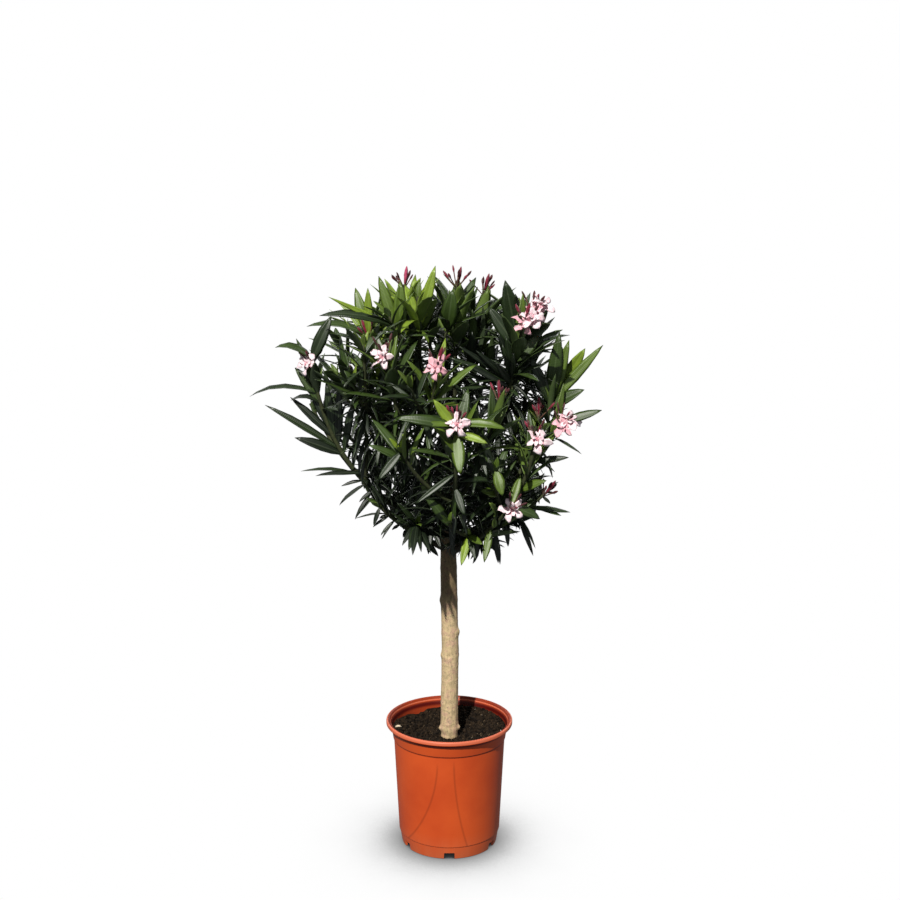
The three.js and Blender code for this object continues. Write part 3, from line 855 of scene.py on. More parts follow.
# %% [markdown]
# The relief adds up six things: broad swellings, flutes, a fine grain, a low ridge at every old
# leaf scar, healed collars all round, and the stubs of cut side shoots. Scars stand out by a third
# of a millimetre, collars by one and stubs by up to four, so the stem's outline isn't straight. A
# negative height is a groove.

# %% Bark relief
BARK_NOISE = [(1, 0.02, 0.7), (5, 0.018, 0.45), (11, 0.09, 0.22)]  # fineness round, along, and height
SCARS = [(level, 0.12 + 0.2 * ((level * 7) % 3) / 2) for level in range(236, 700, 29)]
SCAR_WIDTH = 1.5
# Collars: level, how far they stand out and how wide they are.
COLLARS = [
    (226, 1.1, 5), (213, -1.2, 5), (276, 0.6, 4), (371, 0.8, 4),
    (417, 0.4, 5), (478, 0.5, 5), (541, 0.6, 5),
]
# Healed cuts: level, azimuth in degrees, how far they stand out and how wide they are.
STUBS = [
    (225, 192, 3.6, 5), (227, -12, 3.8, 5), (236, 262, 1.5, 5), (417, -14, 2.6, 7),
    (371, 186, 1.4, 7), (478, 178, 2.0, 8), (372, 262, -1.6, 4), (276, 262, -1.6, 4),
    (318, 60, 2.0, 6), (440, 110, 2.2, 7), (522, 250, 1.6, 7),
]


def relief(level, angle):
    """How far the bark stands out at a height and an angle, in millimetres."""
    x, y = math.cos(angle), math.sin(angle)
    lift = sum(noise.noise(Vector((x * round_it, y * round_it, level * along))) * height
               for round_it, along, height in BARK_NOISE)
    for scar, height in SCARS:
        bend = scar + 1.6 * math.sin(angle * 2 + scar)
        lift += height * math.exp(-(((level - bend) / SCAR_WIDTH) ** 2))
    for collar, height, spread in COLLARS:
        bend = collar + 1.5 * math.sin(angle + collar)
        uneven = 0.75 + 0.4 * math.sin(angle * 2 + collar)
        lift += height * math.exp(-(((level - bend) / spread) ** 2)) * uneven
    for stub, azimuth, height, spread in STUBS:
        around = (angle - math.radians(azimuth) + math.pi) % math.tau - math.pi
        away = math.hypot(around * TRUNK["foot"], level - stub)
        lift += height * math.exp(-((away / spread) ** 2))
    return lift


print("scars", len(SCARS), "collars", len(COLLARS), "stubs", len(STUBS))

# %% [markdown]
# A plain tube is spun first, with close rings. Then each point is moved along the stem's own line
# and out by the relief, which fades at both ends so that the cuts there are clean.

# %% Stem mesh
TRUNK_SIDES = 72
TRUNK_RINGS = 330
RELIEF_FADE = 6
BARK_SUNK = 0.4  # keeps the highest relief near the plain stem's surface

bm = bmesh.new()
levels = np.linspace(TRUNK_FOOT, TRUNK["top"], TRUNK_RINGS)
column = [bm.verts.new((1, 0, level)) for level in levels]
for pair in zip(column, column[1:]):
    bm.edges.new(pair)
bmesh.ops.spin(
    bm, geom=bm.verts[:] + bm.edges[:], cent=(0, 0, 0), axis=(0, 0, 1), angle=math.tau,
    steps=TRUNK_SIDES, use_merge=True,
)
bmesh.ops.remove_doubles(bm, verts=bm.verts, dist=0.0005)
for vert in bm.verts:
    level, angle = vert.co.z, math.atan2(vert.co.y, vert.co.x)
    x, y = trunk_axis(level)
    flat = min(1, (level - TRUNK_FOOT) / RELIEF_FADE, (TRUNK["top"] - level) / RELIEF_FADE)
    radius = trunk_radius(level) - BARK_SUNK + relief(level, angle) * max(0, flat)
    vert.co = (x + radius * math.cos(angle), y + radius * math.sin(angle), level)
bmesh.ops.holes_fill(bm, edges=[e for e in bm.edges if e.is_boundary], sides=0)
bmesh.ops.recalc_face_normals(bm, faces=bm.faces)
stem = new_piece("stem_bark", bm)
print("stem faces", len(stem.data.polygons))

# %% [markdown]
# Pale tan bark, pinkish where it is thin, is speckled with grey cork and has a fine grain along the stem. Its
# lowest two centimetres are stained by wet peat, and under the head the bark is painted darker as the head's
# shade. Both follow the height, made uneven by the same cloud that mottles the colour.

# %% Bark
WET_BARK = (TRUNK_FOOT + 2, TRUNK_FOOT + 26)  # heights between which it dries
WET_SHADE = (0.3, 0.22, 0.16)
HEAD_SHADE_LEVELS = (450, 510)  # heights between which the head's painted shade sets in
PAINTED_HEAD_SHADE = (0.32, 0.305, 0.28)
UNEVEN = 0.022  # m, by which the cloud shifts those heights


def paler_bark(colour):
    return tuple(min(0.85, c * 1.25) for c in colour)


def between(add, value, low, high):
    """0 at the low height and 1 at the high one, both in millimetres."""
    node = add("MapRange", [("Value", value)], **{"From Min": low * MM, "From Max": high * MM})
    return node.outputs["Result"]


def bark(name, tan, pink, cork, stain_and_shade=True):
    material, shader, add, link = new_material(name)
    place = add("TexCoord").outputs["Object"]
    drawn = add("Mapping", [("Vector", place)], Scale=(1, 1, 0.16))
    grain = add("TexNoise", [("Vector", drawn.outputs["Vector"])], Scale=420.0, Detail=5.0, Roughness=0.6)
    cloud = add("TexNoise", [("Vector", place)], Scale=75.0, Detail=5.0, Roughness=0.65)
    specks = add("TexNoise", [("Vector", place)], Scale=260.0, Detail=4.0, Roughness=0.75)
    tone = ramp(add, cloud.outputs["Fac"], (0.4, tan), (0.5, paler_bark(tan)), (0.6, pink))
    corky = ramp(add, specks.outputs["Fac"], (0.53, (0,) * 3), (0.68, (1,) * 3))
    mottled = add("Mix", data_type="RGBA")
    link(corky, mottled.inputs["Factor"])
    link(tone, mottled.inputs[6])
    mottled.inputs[7].default_value = (*cork, 1)
    grained = add("Mix", data_type="RGBA", blend_type="MULTIPLY", Factor=0.55)
    link(mottled.outputs[2], grained.inputs[6])
    link(ramp(add, grain.outputs["Fac"], (0.3, (0.42,) * 3), (0.6, (1,) * 3)), grained.inputs[7])
    result = grained.outputs[2]
    if stain_and_shade:
        height = add("SeparateXYZ", [("Vector", place)]).outputs["Z"]
        uneven = calc(add, "ADD", calc(add, "MULTIPLY", cloud.outputs["Fac"], UNEVEN), height)
        wet = ramp(add, between(add, uneven, *WET_BARK), (0.1, WET_SHADE), (0.7, (1, 1, 1)))
        # The stem under the head is painted darker, as the head's shade.
        young = ramp(add, between(add, uneven, *HEAD_SHADE_LEVELS), (0.0, (1, 1, 1)), (1.0, PAINTED_HEAD_SHADE))
        for over in (wet, young):
            shaded = add("Mix", data_type="RGBA", blend_type="MULTIPLY", Factor=1.0)
            link(result, shaded.inputs[6])
            link(over, shaded.inputs[7])
            result = shaded.outputs[2]
    link(result, shader.inputs["Base Color"])
    shader.inputs["Roughness"].default_value = 0.8
    shader.inputs["Specular IOR Level"].default_value = 0.3
    fine = bump(add, specks.outputs["Fac"], 0.35, 0.0006)
    link(bump(add, grain.outputs["Fac"], 0.5, 0.0007, fine), shader.inputs["Normal"])
    return material


stem_bark = bark("stem_bark", (0.46, 0.35, 0.195), (0.53, 0.35, 0.23), (0.23, 0.185, 0.125))
finish_piece(stem, [stem_bark], "bark", "trunk")
print("stem done")

# %% [markdown]
# ## The limbs
# Sixteen limbs leave the stem in three tiers. Each is one bent line with two side shoots, and the
# source states them in a short table, which is repeated here so that the leaves grow on the same
# lines. A limb's form says where its bend lies and where its side shoots stand.

# %% Limbs and their forms
# Bend: how far out the knee lies, and how high. Sides: where a shoot leaves the limb, then how far
# its tip lies beside the limb's, outside it and above it, as shares of the limb's reach and rise.
FORMS = {
    "low": {"bend": (0.62, 0.42), "sides": [(0.42, 0.48, -0.16, 0.05), (0.48, -0.48, -0.24, -0.2)]},
    "middle": {"bend": (0.9, 0.28), "sides": [(0.44, 0.32, -0.26, 0.1), (0.5, -0.38, -0.06, -0.22)]},
    "top": {"bend": (0.75, 0.36), "sides": [(0.46, 0.48, -0.1, -0.04), (0.5, -0.48, -0.06, -0.16)]},
}

# Name: form, start, azimuth, out, height, what its three shoots carry, turn, and how sunny and how
# vigorous it is.
LIMBS = {
    "low_front": ("low", 570, 302, 200, 698, ("open", "bud", "leaf"), 1, 0.4, 0.4),
    "low_left": ("low", 576, 212, 146, 676, ("leaf", "leaf", "leaf"), -1, 0.0, 0.0),
    "low_back": ("low", 572, 118, 164, 690, ("leaf", "leaf", "leaf"), 1, 0.2, 0.3),
    "low_right": ("low", 578, 14, 150, 668, ("leaf", "leaf", "leaf"), 1, 0.1, 0.1),
    "left": ("middle", 608, 202, 258, 942, ("open", "leaf", "leaf"), 1, 0.3, 0.5),
    "front": ("middle", 616, 273, 240, 861, ("open", "bud", "leaf"), 1, 0.45, 0.5),
    "right_front": ("middle", 600, 313, 217, 819, ("open", "bud", "leaf"), 1, 0.45, 0.3),
    "right": ("middle", 628, 5, 206, 882, ("leaf", "leaf", "open"), 1, 0.6, 1.0),
    "back_right": ("middle", 608, 58, 226, 892, ("open", "leaf", "leaf"), 1, 0.4, 0.7),
    "back_left": ("middle", 618, 138, 236, 880, ("open", "bud", "leaf"), -1, 0.4, 0.7),
    "high_left": ("top", 640, 174, 150, 994, ("leaf", "bud", "leaf"), 1, 0.8, 0.9),
    "top_front": ("top", 650, 236, 194, 962, ("open", "bud", "leaf"), 1, 0.5, 0.7),
    "top_left": ("top", 672, 190, 82, 1068, ("bud", "leaf", "leaf"), 1, 1.0, 1.0),
    "top_middle": ("top", 696, 300, 26, 1068, ("bud", "bud", "leaf"), 1, 0.45, 1.0),
    "top_right": ("top", 664, 356, 150, 1026, ("open", "bud", "leaf"), -1, 0.3, 1.0),
    "top_back": ("top", 652, 92, 150, 1012, ("bud", "leaf", "leaf"), 1, 0.5, 0.8),
}
print("limbs", len(LIMBS))

# %% [markdown]
# A limb's main shoot carries on along the bough's own bent line. Its two side shoots leave it at
# their shares of its length, one to each side, and their knees sag a little under their weight.

# %% Shoots
LEAST_REACH = 0.36  # of a steep limb's rise, for its side shoots
KNEE_ASIDE = 0.2
KNEE_SAG = 0.06
BOUGH_SHARE = 0.2  # of a limb's line that is bare bough
MAIN_RADII = (5.2, 3.0)
SIDE_RADII = (4.2, 2.6)
SIDE_VIGOUR = 0.75  # of a side shoot, against its limb's main one


def limb_line(form, start, azimuth, out, height):
    """A limb's bent line, from inside the stem to its tip."""
    out_bend, up_bend = FORMS[form]["bend"]
    angle = math.radians(azimuth)
    outwards = np.array([math.cos(angle), math.sin(angle), 0])
    knee = outwards * out * out_bend + UP * mix(start, height, up_bend)
    return bent(UP * start, knee, outwards * out + UP * height)


def shoots_of(name):
    """A limb's three shoots: line, where it comes free, radii at foot and tip, and what it carries."""
    form, start, azimuth, out, height, blooms, turn, sunny, vigour = LIMBS[name]
    line = limb_line(form, start, azimuth, out, height)
    angle = math.radians(azimuth)
    outwards = np.array([math.cos(angle), math.sin(angle), 0])
    aside = np.array([-outwards[1], outwards[0], 0]) * turn
    rise = height - start
    reach = max(out, rise * LEAST_REACH)
    shoots = [{"line": line, "foot": BOUGH_SHARE, "radii": MAIN_RADII, "bloom": blooms[0], "sun": sunny,
               "vigour": vigour, "limb": name, "number": 0}]
    for (leaving, beside, outer, higher), bloom in zip(FORMS[form]["sides"], blooms[1:]):
        foot = line.at(leaving)
        tip = line.at(1) + aside * beside * reach + outwards * outer * reach + UP * higher * rise
        knee = (foot + tip) / 2 + aside * beside * reach * KNEE_ASIDE - UP * KNEE_SAG * rise
        shoots.append({"line": bent(foot, knee, tip), "foot": 0, "radii": SIDE_RADII, "bloom": bloom,
                       "sun": sunny, "vigour": vigour * SIDE_VIGOUR, "limb": name, "number": len(shoots)})
    return shoots


shoots = {name: shoots_of(name) for name in LIMBS}
print("shoots", sum(len(s) for s in shoots.values()))

# %% [markdown]
# Finer twigs fork from each shoot. They leave it sideways, one after the other round it by the
# golden angle, and turn up to the light. They stay inside the head's own outline, which is a round
# one whose width is given at a few heights.

# %% Head outline and twigs
HEAD_LEVELS = [556, 583, 612, 638, 665, 696, 740, 778, 830, 885, 940, 980, 1004, 1044, 1062, 1076, 1086]
HEAD_REACH = [40, 76, 102, 136, 154, 174, 194, 212, 230, 236, 256, 250, 228, 184, 150, 104, 50]
HEAD_ASIDE = [26, 30, 30, 24, 12, 8, 6, 0, -6, -20, -22, -30, -30, -18, -20, -28, -26]
HEAD_DEEP = 1.24  # how much deeper the head is than wide
TWIG_ROOM = 35  # between a twig's tip and the head's outline
TWIG = {"share": (0.5,), "low_share": (0.36, 0.6, 0.84), "length": (80, 130), "low_length": (50, 90),
        "spread": 52, "rise": 0.5, "low_rise": 0.1, "radii": (2.6, 1.8)}
GOLDEN_ANGLE = math.radians(137.5)


def inside_head(point, room=0):
    x, y, z = point
    if not HEAD_LEVELS[0] < z < HEAD_LEVELS[-1]:
        return False
    aside = np.interp(z, HEAD_LEVELS, HEAD_ASIDE)
    return math.hypot(x - aside, y / HEAD_DEEP) < np.interp(z, HEAD_LEVELS, HEAD_REACH) - room


def twigs_of(shoot, random):
    """Twigs of one shoot. The low limbs have more of them, shorter and flatter."""
    line = shoot["line"]
    found = []
    turn = random() * math.tau
    kind = "low_" if LIMBS[shoot["limb"]][0] == "low" else ""
    for share in TWIG[kind + "share"]:
        turn += GOLDEN_ANGLE
        share = share + 0.06 * (random() - 0.5)
        if share < shoot["foot"] + 0.15:
            continue
        along = line.way(share)
        side = turned(square_to(UP + 0.01, along), along, turn)
        spread = math.radians(TWIG["spread"])
        away = along * math.cos(spread) + side * math.sin(spread)
        length = mix(*TWIG[kind + "length"], random())
        foot = line.at(share)
        tip = foot + unit(away + UP * TWIG[kind + "rise"]) * length
        knee = foot + away * length * 0.5
        if inside_head(tip, TWIG_ROOM):
            found.append({"line": bent(foot, knee, tip, 16), "foot": 0.02, "radii": TWIG["radii"],
                          "bloom": "leaf", "sun": shoot["sun"] * 0.5, "vigour": shoot["vigour"] * 0.4})
    return found


random = seeded(41)
stems = []
for made in shoots.values():
    for shoot in made:
        stems.append(shoot)
        stems += twigs_of(shoot, random)
print("stems", len(stems))

# %% [markdown]
# ## The rule of the leaves
# Leaves stand in whorls of three. At a shoot's tip they are close together, broad, upright and
# fresh: the tuft. Further down they are narrow and dark, stand square to the twig and then hang. A
# leaf is only a plan at this stage: where it is rooted, which way it goes, and how it bends.

# %% Leaf rule
LEAF = {
    "tuft": (28, 68), "tuft_spacing": 14, "tuft_length": (84, 126),
    "tuft_width": (14, 32), "tuft_angle": (12, 50),
    "low_spacing": 16, "low_length": 84, "low_width": 9.5, "low_angle": (58, 92),
    "low_level": 750, "crowding": 0.56, "heart": (34, 11), "whorl": 3, "swing": 26,
    "slides": (0, 18, 36, 54), "closings": (1, 0.7, 0.45),
}
LEAF_THICKNESS = 0.011  # of a leaf's length
STALK = {"open": 42, "bud": 62, "leaf": 0}  # bare below a flower or a bud
TINTS = ("lime", "fresh", "green", "deep", "dark")


def tint_of(depth, sun_share, random):
    """Which green a leaf has, from its depth below the shoot's tip and how sunny it stands: sunnier leaves
    get a painted lighter green, shaded ones a painted darker one.
    """
    age = depth / 60 * 1.3 + (1 - sun_share) * 3.2 + (random() - 0.5) * 1.5
    return int(np.clip(age, 0, len(TINTS) - 1))


def leaf_spray(stem, distance, angle, turn, length, width, age, random):
    """The plan of one leaf that leaves its stem at a distance below the tip."""
    line = stem["line"]
    share = 1 - distance / line.length
    along = line.way(share)
    radial = turned(square_to(np.array([along[1], -along[0], 0.1]) + 0.01, along), along, turn)
    way = unit(along * math.cos(angle) + radial * math.sin(angle) - UP * 0.55 * age * math.sin(angle))
    hang = radial * (1 - 0.7 * age) - UP * (0.3 + 0.7 * age)
    face = -square_to(hang, way)
    bend = mix(0.1, 0.6, random()) + 1.1 * age * random()
    return {"root": line.at(share), "way": way, "face": face, "length": length, "width": width,
            "bend": bend, "fold": mix(0.08, 0.34, random()), "twist": (random() - 0.5) * 0.9,
            "thickness": length * LEAF_THICKNESS, "ripple": 0.5 * random(), "phase": random() * 6}


print("tints", TINTS)

# %% [markdown]
# A leaf whose tip would leave the head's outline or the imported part's box isn't grown, and neither
# is one whose outer half would touch the stem.

# %% Whether a leaf fits
BOX_LOW, BOX_HIGH = (np.array(corner) / MM for corner in cad_box)
BOX_ROOM = (4, 2)  # at the low and the high sides
TRUNK_ROOM = 4


def spot_on(spray, share):
    """A point on a leaf's middle line."""
    bend, length = spray["bend"], spray["length"]
    out = math.sin(bend * share) / bend * length
    down = (1 - math.cos(bend * share)) / bend * length
    return spray["root"] + spray["way"] * out - spray["face"] * down


def fits(spray):
    """Whether a leaf ends inside the head and its outer half keeps off the trunk."""
    tip = spot_on(spray, 1)
    if not inside_head(tip) or (tip < BOX_LOW + BOX_ROOM[0]).any() or (tip > BOX_HIGH - BOX_ROOM[1]).any():
        return False
    for share in (0.4, 0.7, 1.0):
        point = mix(spray["root"], tip, share)
        if point[2] < TRUNK["top"] and math.hypot(point[0], point[1]) < TRUNK["flare"] + TRUNK_ROOM:
            return False
    return True


print("leaves stay between", BOX_LOW.round(), "and", BOX_HIGH.round())

# %% [markdown]
# One stem is followed from its tip down, whorl by whorl. A leaf that doesn't fit is tried closer to
# its twig, then further down, and left out if nothing helps. A bare tip ends in a small heart of
# young leaves.

# %% Leaves of every stem
FIRST_WHORL = 4.0  # below the tip or the stalk
BARE_FOOT = 10
OLD_DEPTH = 170  # where a leaf is fully grown old


def measures(stem, young, age, random):
    """Angle to the twig, length and width of a leaf: first in the tuft, then below it."""
    if young:
        angle = mix(*LEAF["tuft_angle"], 1 - young)
        length = mix(*LEAF["tuft_length"], stem["vigour"]) * mix(0.86, 1, young) * (0.8 + 0.3 * random())
        width = mix(*LEAF["tuft_width"], stem["vigour"]) * mix(0.7, 1, young) * (0.7 + 0.5 * random())
    else:
        angle = mix(*LEAF["low_angle"], age)
        length = LEAF["low_length"] * (0.7 + 0.5 * random())
        width = LEAF["low_width"] * (0.8 + 0.4 * random())
    return angle, length, width


def leaves_on(number, stem, random):
    """All leaves of one stem, from its tip down."""
    found = []
    line = stem["line"]
    stalk = STALK[stem["bloom"]]
    tuft = mix(*LEAF["tuft"], stem["vigour"])
    bare = stem["foot"] * line.length + BARE_FOOT
    depth, index = FIRST_WHORL, 0
    while stalk + depth < line.length - bare:
        young = max(0, 1 - depth / tuft)
        age = min(1, depth / OLD_DEPTH)
        turn = (index % 2) * math.pi / LEAF["whorl"] + random() * 0.6
        for petiole in range(LEAF["whorl"]):
            angle, length, width = measures(stem, young, age, random)
            angle += LEAF["swing"] * (random() - 0.5)
            whorl_turn = turn + petiole * math.tau / LEAF["whorl"] + 0.3 * (random() - 0.5)
            tint = tint_of(depth, stem["sun"], random)
            if index == 0 and stalk == 0:
                length, width = (value * (0.8 + 0.5 * random()) for value in LEAF["heart"])
                angle, tint = 8 + 10 * random(), int(2 * random() + 1 - stem["sun"])
            for slide in LEAF["slides"]:
                spot = min(stalk + depth + 2.5 * petiole + slide, line.length - 1)
                angles = [math.radians(angle * closer) for closer in LEAF["closings"]]
                tries = [leaf_spray(stem, spot, a, whorl_turn, length, width, age, random) for a in angles]
                good = [spray for spray in tries if fits(spray)]
                if good:
                    found.append({**good[0], "tint": tint, "stem": number, "share": 1 - spot / line.length})
                    break
        low = line.at(1 - (stalk + depth) / line.length)[2] < LEAF["low_level"]
        depth += LEAF["tuft_spacing"] if young else LEAF["low_spacing"] * (LEAF["crowding"] if low else 1)
        index += 1
    return found


random = seeded(97)
rule_leaves = [spray for number, stem in enumerate(stems) for spray in leaves_on(number, stem, random)]
print("leaves by the rule", len(rule_leaves))

# %% [markdown]
# A rule alone gives an even head. A real one has its own leaves that catch the eye: long ones that
# arch out on the left, a tall fan on the right, a bright young tuft at the top. They are listed one
# by one, from the left limb round to the lowest leaves at the stem.

